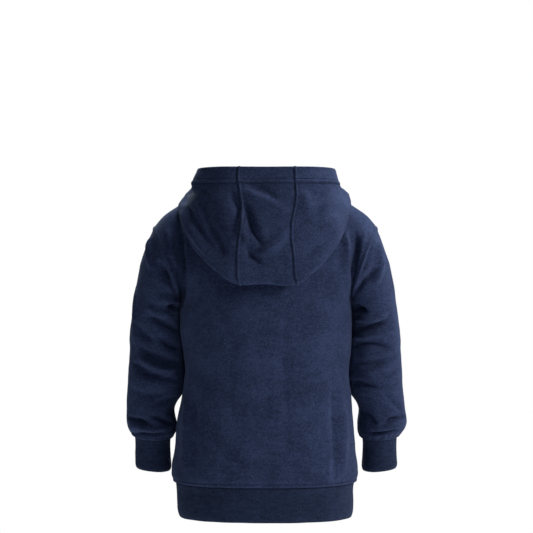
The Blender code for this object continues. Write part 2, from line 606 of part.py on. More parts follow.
def wall(name, outer, inner, closed_round, color):
    """A piece of cloth between two grids of points, as an object of one closed body."""
    facing = np.cross(outer[:-1, 1:] - outer[:-1, :-1], outer[1:, :-1] - outer[:-1, :-1])
    if np.sum(facing * (outer - inner)[:-1, :-1]) < 0:
        outer, inner = outer[:, ::-1], inner[:, ::-1]
    rows, columns = outer.shape[:2]
    points = np.concatenate([outer.reshape(-1, 3), inner.reshape(-1, 3)])
    index = np.arange(rows * columns).reshape(rows, columns)
    if closed_round:
        index = np.concatenate([index, index[:, :1]], axis=1)
    a, b, c, d = index[:-1, :-1], index[:-1, 1:], index[1:, 1:], index[1:, :-1]
    skin = np.stack([a, b, c, d], axis=-1).reshape(-1, 4)
    far = rows * columns
    faces = [skin, skin[:, ::-1] + far]
    rims = [index[0, ::-1], index[-1]]
    if not closed_round:
        rims += [index[:, 0], index[::-1, -1]]
    for rim in rims:
        faces.append(np.stack([rim[:-1], rim[:-1] + far, rim[1:] + far, rim[1:]], axis=-1)[:, ::-1])
    mesh = bpy.data.meshes.new(name)
    mesh.from_pydata(points.tolist(), [], np.concatenate(faces).tolist())
    mesh.shade_smooth()
    mesh.set_sharp_from_angle(angle=math.radians(50))
    mesh.materials.append(cloth_material(name, color))
    piece = bpy.data.objects.new(name, mesh)
    bpy.context.scene.collection.objects.link(piece)
    return piece


def cloth_material(name, color):
    """A matt cloth with a faint sheen."""
    material = bpy.data.materials.new(name + "_cloth")
    material.use_nodes = True
    shader = material.node_tree.nodes["Principled BSDF"]
    shader.inputs["Base Color"].default_value = color
    shader.inputs["Roughness"].default_value = 0.95
    shader.inputs["Metallic"].default_value = 0.0
    shader.inputs["Sheen Weight"].default_value = 0.2
    return material


def seam_inset(values, low_gap, high_gap):
    """Evenly placed values with the first and last drawn in by half a seam's gap."""
    values = np.array(values, float)
    values[0] += low_gap
    values[-1] -= high_gap
    return values


# --- Pieces -------------------------------------------------------------------


def make_panel(name, side, folds):
    """The front or the back."""
    neck = np.linspace(0, NECK_SHARE, NECK_COLUMNS + 1)
    shoulder = np.linspace(NECK_SHARE, 1, SHOULDER_COLUMNS + 1)[1:]
    half = np.concatenate([neck, shoulder])
    gap = PANEL_INSET / HALF_ROUND
    across = seam_inset(np.concatenate([-half[:0:-1], half]), gap, gap)
    body = np.linspace(0, YOKE_START, BODY_ROWS + 1)
    yoke = np.linspace(YOKE_START, 1, YOKE_ROWS + 1)[1:]
    up = seam_inset(np.concatenate([body, yoke]), 0.0, PANEL_INSET / PANEL_HEIGHT)
    base = panel(side, across, up)
    outward = outward_of(lambda u, v: panel(side, u, v), across, up, -side)
    edge_fade = 1 - smooth_step(np.abs(across), *PANEL_SIDE_FADE)[None, :]
    end_fade = smooth_step(up, *PANEL_LOW_FADE) * (1 - smooth_step(up, *PANEL_TOP_FADE))
    relief = panel_relief(base, folds) * edge_fade * end_fade[:, None]
    outer = base + outward * relief[..., None]
    inner = outer - outward * FLEECE
    wall(name, outer, inner, False, NAVY)


def make_tube(name, surface, turns, shares, thickness, relief, right, color):
    """A sleeve or cuff, mirrored to the right side where asked."""
    base = surface(turns, shares)
    outward = outward_of(surface, turns, shares, -1.0)
    outer = base + outward * relief(base, turns)[..., None]
    inner = outer - outward * thickness
    if right:
        outer[..., 0] *= -1
        inner[..., 0] *= -1
    wall(name, outer, inner, True, color)


def make_sleeves():
    """Both sleeves and their cuffs."""
    turns = np.linspace(0, 2 * math.pi, AROUND_SLEEVE + 1)[:-1]
    shares = np.linspace(0, 1, ALONG_SLEEVE + 1)
    cuff_shares = np.linspace(0, 1, ALONG_CUFF + 1)
    for side, right, folds in (
        ("left", 0.0, LEFT_SLEEVE_FOLDS),
        ("right", 1.0, RIGHT_SLEEVE_FOLDS),
    ):
        make_tube(
            f"sleeve_{side}",
            lambda turn, share, right=right: sleeve(right, turn, share),
            turns,
            shares,
            FLEECE,
            lambda base, turn, folds=folds: sleeve_relief(base, turn, folds),
            right,
            NAVY,
        )
        make_tube(
            f"cuff_{side}",
            lambda turn, share, right=right: sleeve_ring(CUFF_SECTIONS, right, turn, share),
            turns,
            cuff_shares,
            KNIT,
            lambda base, turn: np.zeros(base.shape[:-1]),
            right,
            DARK_NAVY,
        )


def make_band():
    """The waistband, one ring."""
    around = np.linspace(0, 2, AROUND_BAND + 1)[:-1]
    heights = np.linspace(BAND_SECTIONS[0].height, BAND_END, ALONG_BAND + 1)
    base = band(around, heights)
    outward = outward_of(lambda u, z: band(u % 2.0, z), around, heights, 1.0)
    wall("waistband", base, base - outward * KNIT, True, DARK_NAVY)


def make_hood():
    """The hood's centre panel and its two side panels."""
    along = np.array(
        HOOD_ROLL_ROWS + HOOD_LYING_ROWS + HOOD_FOLD_ROWS + HOOD_HANGING_ROWS + HOOD_HEM_ROWS
    )
    gap = SEAM_GAP / HOOD_HALF_ROUND
    centre = seam_inset(
        np.linspace(-PANEL_SEAM, PANEL_SEAM, HOOD_CENTRE_COLUMNS + 1), gap, gap
    )
    side = seam_inset(np.linspace(PANEL_SEAM, 1.0, HOOD_SIDE_COLUMNS + 1), gap, 0.0)
    for name, shares in (
        ("hood_centre", centre),
        ("hood_left", side),
        ("hood_right", -side[::-1]),
    ):
        base = hood(shares, along)
        outward = outward_of(hood, shares, along, -1.0)
        shown = smooth_step(along, *HOOD_FOLDS_START)[:, None]
        relief = panel_relief(base, HOOD_FOLDS) * shown
        hem = HEM_EXTRA * (along > HEM_START + 0.005)[:, None]
        inner = base + outward * relief[..., None]
        outer = base + outward * (relief + FLEECE + hem)[..., None]
        wall(name, outer, inner, False, NAVY)


def main():
    """Clears the scene and makes every piece."""
    for leftover in list(bpy.data.objects):
        bpy.data.objects.remove(leftover, do_unlink=True)
    make_panel("back", 1, BACK_FOLDS)
    make_panel("front", -1, FRONT_FOLDS)
    make_sleeves()
    make_band()
    make_hood()


main()
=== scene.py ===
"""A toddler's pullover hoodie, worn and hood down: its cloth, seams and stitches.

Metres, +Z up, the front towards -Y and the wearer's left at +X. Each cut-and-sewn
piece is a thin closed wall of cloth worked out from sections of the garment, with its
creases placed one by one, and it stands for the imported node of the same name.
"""

from __future__ import annotations

import logging
import math
from collections.abc import Sequence
from dataclasses import dataclass, field
from enum import Enum
from typing import NamedTuple

import bpy
import numpy as np
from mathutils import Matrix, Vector

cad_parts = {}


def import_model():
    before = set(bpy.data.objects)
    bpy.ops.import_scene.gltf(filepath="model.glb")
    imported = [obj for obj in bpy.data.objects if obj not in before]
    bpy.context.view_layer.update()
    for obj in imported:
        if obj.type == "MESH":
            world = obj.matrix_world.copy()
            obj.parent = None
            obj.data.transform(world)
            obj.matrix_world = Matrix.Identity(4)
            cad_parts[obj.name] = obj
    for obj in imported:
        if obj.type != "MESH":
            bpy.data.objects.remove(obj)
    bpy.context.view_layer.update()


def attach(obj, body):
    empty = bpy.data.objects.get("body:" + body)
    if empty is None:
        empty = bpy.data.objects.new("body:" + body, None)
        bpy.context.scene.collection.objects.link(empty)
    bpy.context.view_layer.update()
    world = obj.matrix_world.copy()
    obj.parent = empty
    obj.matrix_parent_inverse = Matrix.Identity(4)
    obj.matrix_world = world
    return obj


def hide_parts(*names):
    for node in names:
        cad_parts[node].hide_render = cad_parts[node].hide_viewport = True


Array = np.ndarray
Numbers = tuple[float, ...]
Span = tuple[float, float]
Table = tuple[Numbers, ...]
Material = bpy.types.Material
Object = bpy.types.Object
LOG = logging.getLogger("hoodie")

FLEECE = 0.0020  # thickness of the body's cloth
KNIT = 0.0028  # thickness of the folded rib
SEAM_GAP = 0.00006  # between two pieces that are sewn together
SEAM_ROUNDING = 0.0004  # how much of a sewn edge turns in
STEEPEST = 0.96  # how far round its quarter circle an edge turns
NECK_SHARE = 0.53  # of a panel's half width, that the neckline takes
YOKE_START = 0.62  # of a panel's height, that lies below the underarm
UNDERARM_HEIGHT = -0.1166
BODY_END = -0.3370
BAND_END = -0.3780
RIGHT_SHARE = 0.980  # the right shoulder's width beside the left one's
PANEL_SEAM = 0.10  # the way round the hood to its centre panel's seams
EDGE_STEPS = np.array([0.0, 0.2, 0.5, 0.9, 1.4, 2.0, 2.7, 3.5, 4.4, 5.5, 7.0]) / 1000
DEPTH_SHARE = 0.82  # a section's depth beside its width, where its points are spaced
SLOPE_STEP = 1e-4  # for slopes of the surfaces in their own parameters
BESIDE_BODY = UNDERARM_HEIGHT + 0.004  # below it a sleeve lies beside the body

# Tables hold whole numbers: tenths of a millimetre, hundredths or thousandths.
MM10, CENT, MILLE = 10_000, 100, 1000


def table(row: type, units: Sequence[int], *numbers: Sequence[int]) -> tuple:
    """Rows of a table from whole numbers, each divided by its column's unit."""
    return tuple(row(*values) for values in (np.array(numbers) / np.array(units)).tolist())


# --- Tables of sections ---


class BodySection(NamedTuple):
    """A level of the body: its height and how far it reaches each way."""

    height: float
    left: float
    right: float
    back: float
    front: float


class ShoulderPoint(NamedTuple):
    """A place on the left shoulder seam."""

    share: float
    x: float
    y: float
    height: float


class SleeveSection(NamedTuple):
    """A ring of a sleeve or cuff, as its outer and inner points and its depth."""

    share: float
    outer_x: float
    right_in: float
    outer_z: float
    inner_x: float
    inner_z: float
    y: float
    half_depth: float
    pitch: float


class HoodSection(NamedTuple):
    """A section of the hood: where it lies, its lowest fold and its open edge."""

    share: float
    lie_u: float
    lie_rise: float
    fold_left: float
    fold_right: float
    fold_y: float
    fold_z: float
    edge_x: float
    edge_y: float
    edge_z: float
    puff: float


# fmt: off
BODY_SECTIONS = table(
    BodySection, (MM10,) * 5,
    (-1166, 1030, 1009, 840, 790), (-1500, 1036, 1022, 850, 810), (-1800, 1004, 1010, 840, 830),
    (-2050, 975, 980, 830, 845), (-2350, 1012, 1010, 835, 865), (-2650, 1075, 1040, 855, 885),
    (-3000, 1100, 1065, 880, 905), (-3220, 1130, 1095, 900, 920), (-3320, 1122, 1088, 895, 915),
    (-3370, 1088, 1052, 868, 890),
)
BAND_SECTIONS = table(
    BodySection, (MM10,) * 5,
    (-3373, 1086, 1050, 866, 888), (-3420, 1078, 1040, 858, 880), (-3600, 1074, 1034, 854, 876),
    (-3730, 1064, 1026, 846, 868), (-3780, 1046, 1010, 830, 852),
)
SHOULDER_SEAM = table(
    ShoulderPoint, (CENT, MM10, MM10, MM10),
    (0, 650, -50, 120), (28, 850, -45, 45), (62, 1086, -30, -90), (85, 1245, -10, -205),
    (100, 1338, 0, -314),
)
SLEEVE_SECTIONS = table(
    SleeveSection, (CENT, *(MM10,) * 7, CENT),
    (0, 1338, 0, -314, 1038, -1172, 0, 500, 0), (6, 1395, 10, -430, 1040, -1195, -6, 498, 0),
    (13, 1455, 22, -590, 1040, -1235, -20, 485, 0),
    (21, 1515, 30, -800, 1040, -1310, -45, 462, 1),
    (30, 1568, 32, -1050, 1038, -1420, -80, 436, 2),
    (39, 1612, 34, -1310, 1030, -1560, -120, 412, 3),
    (48, 1646, 38, -1570, 1008, -1730, -155, 390, 5),
    (57, 1650, 30, -1810, 988, -1905, -185, 374, 7),
    (66, 1665, 30, -2045, 982, -2105, -215, 360, 9),
    (75, 1680, 34, -2280, 1030, -2310, -245, 348, 11),
    (84, 1694, 16, -2510, 1118, -2515, -272, 342, 14),
    (91, 1690, -6, -2690, 1106, -2700, -292, 330, 17),
    (96, 1652, 8, -2790, 1120, -2815, -304, 290, 19),
    (100, 1604, 16, -2835, 1162, -2865, -310, 228, 19),
)
CUFF_SECTIONS = table(
    SleeveSection, (CENT, *(MM10,) * 7, CENT),
    (0, 1602, 16, -2838, 1163, -2868, -311, 226, 19),
    (20, 1594, 14, -2910, 1170, -2940, -325, 218, 19),
    (60, 1596, 14, -3080, 1166, -3110, -355, 218, 18),
    (90, 1596, 4, -3210, 1160, -3245, -378, 218, 16),
    (100, 1584, 4, -3238, 1172, -3273, -384, 206, 16),
)
HOOD_SECTIONS = table(
    HoodSection, (*(MILLE,) * 3, *(MM10,) * 8),
    (0, 0, 180, 0, 0, 1045, -985, 0, 800, 353, 110),
    (100, 200, 190, 335, 330, 1035, -990, 322, 785, 356, 110),
    (200, 360, 270, 570, 540, 970, -850, 560, 700, 358, 105),
    (300, 500, 420, 790, 740, 820, -640, 735, 540, 355, 95),
    (400, 620, 660, 970, 915, 570, -370, 810, 350, 345, 50),
    (500, 710, 950, 1130, 1095, 190, -90, 800, 80, 303, 5),
    (600, 690, 850, 985, 945, -280, -50, 745, -180, 225, 20),
    (700, 570, 650, 815, 800, -540, -190, 630, -390, 75, 50),
    (800, 375, 570, 590, 585, -700, -375, 460, -560, -135, 65),
    (900, 200, 640, 330, 330, -775, -520, 260, -670, -350, 60),
    (1000, 30, 720, 50, 50, -765, -590, 35, -735, -455, 40),
)
# fmt: on


# --- Creases ---


class Fold(NamedTuple):
    """A crease over three places on the cloth: its relief outwards and its half width.

    On the hood and the panels the places are x and z. On a sleeve they are degrees
    round it (0 outside, 90 behind, 180 by the body) and heights.
    """

    a0: float
    b0: float
    a1: float
    b1: float
    a2: float
    b2: float
    relief: float
    width: float


# fmt: off
HOOD_FOLDS = table(
    Fold, (MM10,) * 8,
    (296, 95, 55, -34, -270, -186, 22, 125), (240, 150, 40, 80, -150, -40, -24, 65),
    (265, -56, 176, -309, 58, -552, -45, 65), (297, -174, 277, -334, 236, -520, 22, 45),
    (235, -586, 161, -676, 71, -768, -35, 60), (102, -658, -58, -579, -235, -417, 30, 70),
    (973, 53, 831, -281, 572, -632, -30, 60), (1018, -7, 915, -325, 614, -748, 20, 60),
    (391, 61, 343, -100, 341, -290, -25, 60), (-363, -287, -514, -227, -686, -135, -20, 80),
    (-423, -665, -571, -588, -748, -444, -20, 80), (-911, 105, -953, -84, -714, -561, 15, 80),
    (615, -287, 548, -496, 488, -680, -18, 80), (720, 378, 706, 305, 717, 210, -9, 50),
    (-387, 85, -476, -88, -526, -289, 12, 90), (790, 0, 660, -290, 480, -640, -40, 160),
)
HOOD_FOLD_DEPTH = 1.7  # how much deeper the creases are than their table says
SLEEVE_FOLD_DEPTH = 2.1
BODY_FOLD_DEPTH = 1.8
BACK_FOLDS = table(
    Fold, (MM10,) * 8,
    (1041, -320, 995, -699, 1002, -1255, -45, 60), (939, -488, 909, -796, 909, -1193, 20, 70),
    (-946, -347, -935, -721, -975, -1103, 30, 60),
    (-1067, -389, -1051, -723, -1013, -1033, -40, 50),
    (1202, -347, 1146, -560, 1064, -815, 20, 50), (-1165, -365, -1146, -585, -1067, -863, 20, 50),
    (853, -2152, 837, -2712, 856, -3263, -25, 70), (965, -2286, 955, -2721, 967, -3228, 16, 60),
    (-777, -2295, -800, -2775, -785, -3281, -22, 60),
    (-885, -2295, -908, -2792, -897, -3272, 20, 60),
    (623, -2881, 249, -3086, -180, -3254, -16, 80),
    (98, -2899, -340, -3130, -735, -3237, -12, 90),
    (-226, -1184, -205, -2001, -252, -2926, -10, 140),
    (399, -1539, 426, -2232, 356, -2810, -7, 140), (596, -1193, 520, -1397, 308, -1539, -8, 120),
    (-598, -1193, -527, -1539, -574, -2117, 9, 140),
)
FRONT_FOLDS = table(
    Fold, (MM10,) * 8,
    (960, -900, 640, -1220, 310, -1480, -28, 80), (900, -1140, 600, -1390, 360, -1720, 18, 80),
    (-930, -960, -610, -1260, -270, -1440, -24, 80),
    (-880, -1200, -560, -1450, -330, -1800, 16, 80), (1000, -420, 960, -700, 990, -1060, -38, 60),
    (-1000, -440, -960, -740, -980, -1090, -34, 60),
    (820, -2240, 790, -2740, 800, -3260, -30, 80), (930, -2300, 920, -2760, 930, -3240, 18, 60),
    (-780, -2180, -800, -2680, -790, -3240, -28, 80),
    (-500, -2930, -180, -3080, 180, -3220, -18, 90),
    (520, -2780, 240, -3000, -60, -3130, -12, 90), (100, -1150, 60, -1900, 120, -2700, -10, 150),
    (-420, -1500, -450, -2200, -380, -2800, 10, 140),
)
LEFT_SLEEVE_FOLDS = table(
    Fold, (1, MM10, 1, MM10, 1, MM10, MM10, MM10),
    (5, -1059, 32, -1414, 45, -1751, 15, 50), (71, -746, 98, -913, 140, -1101, -50, 55),
    (18, -437, 35, -605, 60, -820, 25, 50), (118, -1277, 134, -1270, 165, -1308, -50, 40),
    (92, -1159, 111, -1197, 144, -1234, 20, 60), (79, -1389, 105, -1461, 149, -1559, -35, 60),
    (72, -1279, 99, -1338, 132, -1398, 18, 60), (32, -1443, 63, -1603, 85, -1673, -26, 60),
    (100, -1649, 122, -1733, 156, -1801, -25, 60), (57, -1738, 83, -1864, 137, -1945, -40, 60),
    (57, -1891, 89, -1988, 133, -2037, 24, 50), (35, -1945, 80, -2082, 132, -2162, -35, 60),
    (38, -2281, 85, -2338, 130, -2305, -16, 80), (93, -2471, 117, -2421, 147, -2382, -20, 60),
    (26, -2614, 64, -2652, 91, -2672, -40, 40), (96, -2587, 123, -2644, 152, -2702, -30, 40),
    (18, -2813, 84, -2835, 126, -2800, -30, 35), (33, -2734, 87, -2745, 136, -2745, 18, 50),
    (200, -1290, 225, -1330, 260, -1260, -40, 55), (205, -1620, 250, -1700, 300, -1640, -40, 65),
    (215, -1790, 262, -1850, 305, -1800, 22, 55), (200, -1980, 250, -2060, 310, -1960, -38, 65),
    (225, -2260, 270, -2320, 325, -2230, -26, 65), (205, -2600, 250, -2660, 290, -2620, -36, 42),
    (285, -2650, 315, -2610, 345, -2640, -36, 42), (215, -2800, 270, -2830, 330, -2800, -28, 35),
    (250, -700, 262, -860, 235, -1080, -40, 60), (315, -480, 300, -700, 288, -960, 22, 60),
)
RIGHT_SLEEVE_FOLDS = table(
    Fold, (1, MM10, 1, MM10, 1, MM10, MM10, MM10),
    (50, -487, 91, -752, 143, -1084, -40, 50), (32, -487, 52, -747, 81, -1017, 25, 60),
    (55, -782, 98, -959, 172, -1201, -35, 50), (180, -1261, 140, -1293, 112, -1327, -60, 50),
    (150, -1440, 104, -1410, 67, -1375, 30, 50), (157, -1574, 110, -1520, 68, -1449, -45, 50),
    (144, -1655, 100, -1613, 52, -1594, 25, 50), (153, -1751, 103, -1723, 53, -1798, -40, 60),
    (136, -1945, 92, -1959, 31, -1850, -40, 60), (152, -2187, 122, -2215, 89, -2251, -35, 60),
    (97, -2068, 70, -2095, 24, -2022, -20, 60), (75, -2334, 58, -2422, 39, -2529, -20, 60),
    (151, -2552, 126, -2615, 107, -2685, -30, 50), (90, -2672, 69, -2640, 22, -2617, -45, 40),
    (126, -2800, 91, -2811, 51, -2776, -35, 35), (116, -2723, 85, -2732, 41, -2717, 18, 50),
    (195, -1350, 230, -1310, 262, -1360, -42, 55), (200, -1600, 250, -1560, 300, -1640, -40, 65),
    (210, -1760, 255, -1720, 300, -1790, 22, 55), (200, -1960, 255, -1920, 318, -2010, -38, 65),
    (220, -2230, 268, -2200, 320, -2290, -28, 65), (200, -2630, 245, -2600, 285, -2640, -36, 42),
    (280, -2620, 312, -2660, 345, -2630, -36, 42), (215, -2790, 268, -2810, 330, -2790, -28, 35),
    (255, -680, 262, -900, 232, -1120, -40, 60), (318, -480, 302, -690, 286, -940, 22, 60),
)
# fmt: on


# --- Curves through tables ---


def through(knots: Sequence[float], values: Array, at: Array) -> Array:
    """A smooth curve through values: each span is a cubic with its neighbours' slopes.

    Args:
        knots: Where each row of values stands.
        values: One row for each knot.
        at: Where to read the curve. With values of three axes it may have two, and
            each of its columns then reads its own column of values.

    Returns:
        The values at each place.
    """
    knots = np.asarray(knots, float)
    values = np.asarray(values, float)
    slopes = np.gradient(values, knots, axis=0)
    index = np.clip(np.searchsorted(knots, at, side="right") - 1, 0, len(knots) - 2)
    step = knots[index + 1] - knots[index]
    s = np.clip((at - knots[index]) / step, 0.0, 1.0)
    if values.ndim == 3 and at.ndim == 2:
        column = np.arange(values.shape[1])[None, :]
        start, end = values[index, column], values[index + 1, column]
        leave, arrive = slopes[index, column], slopes[index + 1, column]
        spread = (Ellipsis, None)
    else:
        start, end = values[index], values[index + 1]
        leave, arrive = slopes[index], slopes[index + 1]
        spread = (Ellipsis,) + (None,) * (values.ndim - 1)
    s, step = s[spread], step[spread]
    return (
        (2 * s**3 - 3 * s**2 + 1) * start
        + (s**3 - 2 * s**2 + s) * step * leave
        + (3 * s**2 - 2 * s**3) * end
        + (s**3 - s**2) * step * arrive
    )


def columns_at(rows: Sequence[NamedTuple], key: str, at: Array) -> NamedTuple:
    """Every column of a table, read smoothly at each place of one of them.

    Args:
        rows: The table.
        key: The column that at refers to.
        at: Where to read.

    Returns:
        A row of the same kind whose columns are arrays.
    """
    rows = sorted(rows, key=lambda row: getattr(row, key))
    table = through([getattr(row, key) for row in rows], rows, at)
    return type(rows[0])(*np.moveaxis(table, -1, 0))


def smooth_step(x: Array, low: float, high: float) -> Array:
    """0 below low, 1 above high, and an S between them."""
    s = np.clip((x - low) / (high - low), 0.0, 1.0)
    return s * s * (3.0 - 2.0 * s)


def along_unit(vectors: Array) -> Array:
    """The same vectors, each with a length of one."""
    return vectors / np.linalg.norm(vectors, axis=-1, keepdims=True)


def half_turn(u: Array, squareness: float) -> tuple[Array, Array]:
    """Half a superellipse, spaced evenly in u.

    Args:
        u: From -1 to 1.
        squareness: The superellipse's power.

    Returns:
        The share across, -1 to 1, and the share away, 0 to 1.
    """
    power = 2 / squareness
    dense = np.linspace(0.0, math.pi / 2, 400)
    across, away = np.sin(dense) ** power, np.cos(dense) ** power
    length = run_along(np.stack([across, DEPTH_SHARE * away], axis=-1))
    angle = np.interp(np.abs(u), length / length[-1], dense)
    return np.sign(u) * np.sin(angle) ** power, np.cos(angle) ** power


def with_edges(low: float, high: float, count: int, size: float) -> Array:
    """Even places between two ends, with close ones beside each end.

    Args:
        low: The first place.
        high: The last place.
        count: How many even places.
        size: Metres for each unit of place.

    Returns:
        The places in order.
    """
    steps = EDGE_STEPS / size
    middle = np.linspace(low + steps[-1], high - steps[-1], count)
    return np.concatenate([low + steps[:-1], middle, (high - steps[:-1])[::-1]])


def run_along(points: Array) -> Array:
    """The length along each column of points, from its first row."""
    steps = np.linalg.norm(np.diff(points, axis=0), axis=-1)
    return np.concatenate([0 * steps[:1], np.cumsum(steps, axis=0)])


# --- Soft relief ---


@dataclass
class SoftNoise:
    """Smooth random hills and hollows, the same on each run."""

    seed: int
    gain: float = 1.6  # brings the hills to about -1 and 1
    order: Array = field(init=False)
    slopes: Array = field(init=False)

    def __post_init__(self) -> None:
        """Draws the slopes at the corners of the lattice."""
        draw = np.random.default_rng(self.seed)
        self.order = draw.permutation(256)
        self.slopes = along_unit(draw.normal(size=(256, 3)))

    def at(self, points: Array, size: float) -> Array:
        """Gradient noise: each corner's slope times the way to it, blended smoothly.

        Args:
            points: Places in space.
            size: The size of a hill, in the points' unit.

        Returns:
            Heights from about -1 to 1.
        """
        cell = np.floor(points / size).astype(int)
        part = points / size - cell
        blend = part**3 * (part * (part * 6 - 15) + 10)
        total = np.zeros(points.shape[:-1])
        for corner in np.ndindex(2, 2, 2):
            offset = np.array(corner)
            at = (cell + offset) & 255
            key = self.order[(self.order[at[..., 0]] + at[..., 1]) & 255]
            key = self.order[(key + at[..., 2]) & 255]
            push = np.sum(self.slopes[key] * (part - offset), axis=-1)
            weight = np.prod(np.where(offset, blend, 1 - blend), axis=-1)
            total += push * weight
        return self.gain * total


NOISE = SoftNoise(11)
FOLD_PLACES = 18  # along a fold
FOLD_REACH = 3.2  # half widths to which a fold is worked out
FOLD_SWELL = (0.70, 0.40)  # its width at its ends, and how much more in its middle
FOLD_TAPER = 0.6  # the power of its taper
TROUGH = (0.6, 0.4, 8.0)  # a trough's round part, its sharp part, and how sharp that is
WANDER = (0.0022, 0.024)  # how far folds wander from their curves, and over what length
HILLS = (0.050, 0.016, 0.010)  # sizes of the broad, the fine and the level ones
LEVEL_STRETCH = np.array([0.45, 0.45, 1.0])  # draws the last ones out level
LEVEL_HEIGHT = 0.8  # their height beside the fine ones'
APART = (1.3, 2.6, 3.7)  # shifts, so that one noise doesn't repeat another


def crease(a: Array, b: Array, fold: Fold) -> Array:
    """One fold: a rounded trough or ridge with a faint rise or dip beside it.

    It follows a parabola through its three places, tapers at both ends, and falls off
    as (1 - 0.8 x^2) exp(-x^2), where x is the way from it in half widths. A trough is
    sharper in its middle, where the cloth is creased.

    Args:
        a: First place of each point, in metres.
        b: Second place of each point, in metres.
        fold: The fold, in metres too.

    Returns:
        The relief at each point.
    """
    t = np.linspace(0.0, 1.0, FOLD_PLACES)
    weights = ((2 * t - 1) * (t - 1), 4 * t * (1 - t), t * (2 * t - 1))
    reach = FOLD_REACH * fold.width
    near, paths = np.ones(a.shape, bool), []
    for at, places in ((a, fold[0:6:2]), (b, fold[1:6:2])):
        near &= (at > min(places) - reach) & (at < max(places) + reach)
        paths.append(sum(weight * place for weight, place in zip(weights, places)))
    relief = np.zeros(a.shape)
    if not near.any():
        return relief
    pa, pb = a[near][:, None], b[near][:, None]
    (start_a, start_b), (step_a, step_b) = np.array(paths)[:, :-1], np.diff(paths)
    share = ((pa - start_a) * step_a + (pb - start_b) * step_b) / (step_a**2 + step_b**2)
    share = np.clip(share, 0.0, 1.0)
    off = np.hypot(pa - start_a - share * step_a, pb - start_b - share * step_b)
    best = np.argmin(off, axis=1)
    pick = np.arange(len(best))
    along = (best + share[pick, best]) / (FOLD_PLACES - 1)
    width = fold.width * (FOLD_SWELL[0] + FOLD_SWELL[1] * np.sin(np.pi * along))
    x2 = (off[pick, best] / width) ** 2
    taper = np.sin(np.pi * np.clip(along, 0.02, 0.98)) ** FOLD_TAPER
    profile = (1 - 0.8 * x2) * np.exp(-x2)
    if fold.relief < 0:
        round_part, sharp_part, sharpness = TROUGH
        profile = round_part * profile + sharp_part * np.exp(-sharpness * x2)
    relief[near] = fold.relief * taper * profile
    return relief


def folds_relief(a: Array, b: Array, folds: Sequence[Fold], turning: float = 1.0) -> Array:
    """The sum of many folds over a grid whose places are drawn a little uneven.

    Args:
        a: First place of each point.
        b: Second place of each point.
        folds: The folds.
        turning: Metres for each unit of a, where that isn't a metre.

    Returns:
        The relief at each point.
    """
    far, size = WANDER
    places = np.stack([a * turning, b, 0.0 * a], axis=-1)
    a_uneven = a * turning + far * NOISE.at(places, size)
    b_uneven = b + far * NOISE.at(places + APART[2], size)
    relief = np.zeros(a.shape)
    for fold in folds:
        placed = fold._replace(a0=fold.a0 * turning, a1=fold.a1 * turning, a2=fold.a2 * turning)
        relief += crease(a_uneven, b_uneven, placed)
    return relief


def soft_unevenness(points: Array, broad: float = 0.0014, fine: float = 0.00032) -> Array:
    """The slight unevenness of soft cloth: broad hills, finer ones and level wrinkles.

    Args:
        points: Places in space.
        broad: Height of the broad hills.
        fine: Height of the fine ones.

    Returns:
        The relief at each point.
    """
    size, fine_size, level_size = HILLS
    hills = broad * NOISE.at(points, size) + fine * NOISE.at(points + APART[0], fine_size)
    level = NOISE.at(points * LEVEL_STRETCH + APART[1], level_size)
    return hills + LEVEL_HEIGHT * fine * level


# --- Cloth ---


class Edge(Enum):
    """The borders of a grid of cloth."""

    FIRST_ROW = 0
    LAST_ROW = 1
    FIRST_COLUMN = 2
    LAST_COLUMN = 3


@dataclass
class Cloth:
    """The grid of a piece of cloth, with the ways off it and the lengths along it."""

    grid: Array
    closed_round: bool = False
    flip: float = -1.0  # 1 or -1, so that the ways off it point outwards
    outward: Array = field(init=False)
    down: Array = field(init=False)
    across: Array = field(init=False)

    def __post_init__(self) -> None:
        """Finds the way off the cloth at each point and measures down and across it."""
        grid = self.grid
        if self.closed_round:
            across = np.roll(grid, -1, axis=1) - np.roll(grid, 1, axis=1)
        else:
            across = np.gradient(grid, axis=1)
        self.outward = self.flip * along_unit(np.cross(across, np.gradient(grid, axis=0)))
        self.down = run_along(grid)
        self.across = run_along(np.swapaxes(grid, 0, 1)).T

    def lifted(self, height: Array) -> Array:
        """The grid's points, each moved outwards by its height."""
        return self.grid + self.outward * height[..., None]

    def off(self, edge: Edge) -> Array:
        """The way from each point to an edge of the cloth, along it."""
        return {
            Edge.FIRST_ROW: self.down,
            Edge.LAST_ROW: self.down[-1:] - self.down,
            Edge.FIRST_COLUMN: self.across,
            Edge.LAST_COLUMN: self.across[:, -1:] - self.across,
        }[edge]

    def turned(self, seams: Sequence[Edge], free: Sequence[Edge], thickness: float) -> Array:
        """How far the outer and the inner face turn in near the edges.

        Args:
            seams: Edges sewn to a neighbour, where only the outer face turns in.
            free: Edges with nothing beyond them, where both faces round the wall.
            thickness: The wall's.

        Returns:
            Depths for the outer and the inner face.
        """
        outer, inner = 0 * self.down, 0 * self.down
        for edge in seams:
            outer = np.maximum(outer, rounding(self.off(edge), SEAM_ROUNDING))
        for edge in free:
            outer = np.maximum(outer, rounding(self.off(edge), thickness / 2))
            inner = np.maximum(inner, rounding(self.off(edge), thickness / 2))
        return np.stack([outer, inner])

    def area(self) -> float:
        """The area of one side, as the sum of its cells."""
        grid = self.grid
        if self.closed_round:
            grid = np.concatenate([grid, grid[:, :1]], axis=1)
        one = np.cross(grid[1:, :-1] - grid[:-1, :-1], grid[:-1, 1:] - grid[:-1, :-1])
        other = np.cross(grid[1:, 1:] - grid[1:, :-1], grid[1:, 1:] - grid[:-1, 1:])
        return float(0.5 * (np.linalg.norm(one, axis=-1) + np.linalg.norm(other, axis=-1)).sum())


def rounding(distance: Array, radius: float) -> Array:
    """How far a face of the cloth turns in near its edge, as a quarter circle."""
    near = np.clip(radius - distance, 0.0, STEEPEST * radius)
    return radius - np.sqrt(radius**2 - near**2)


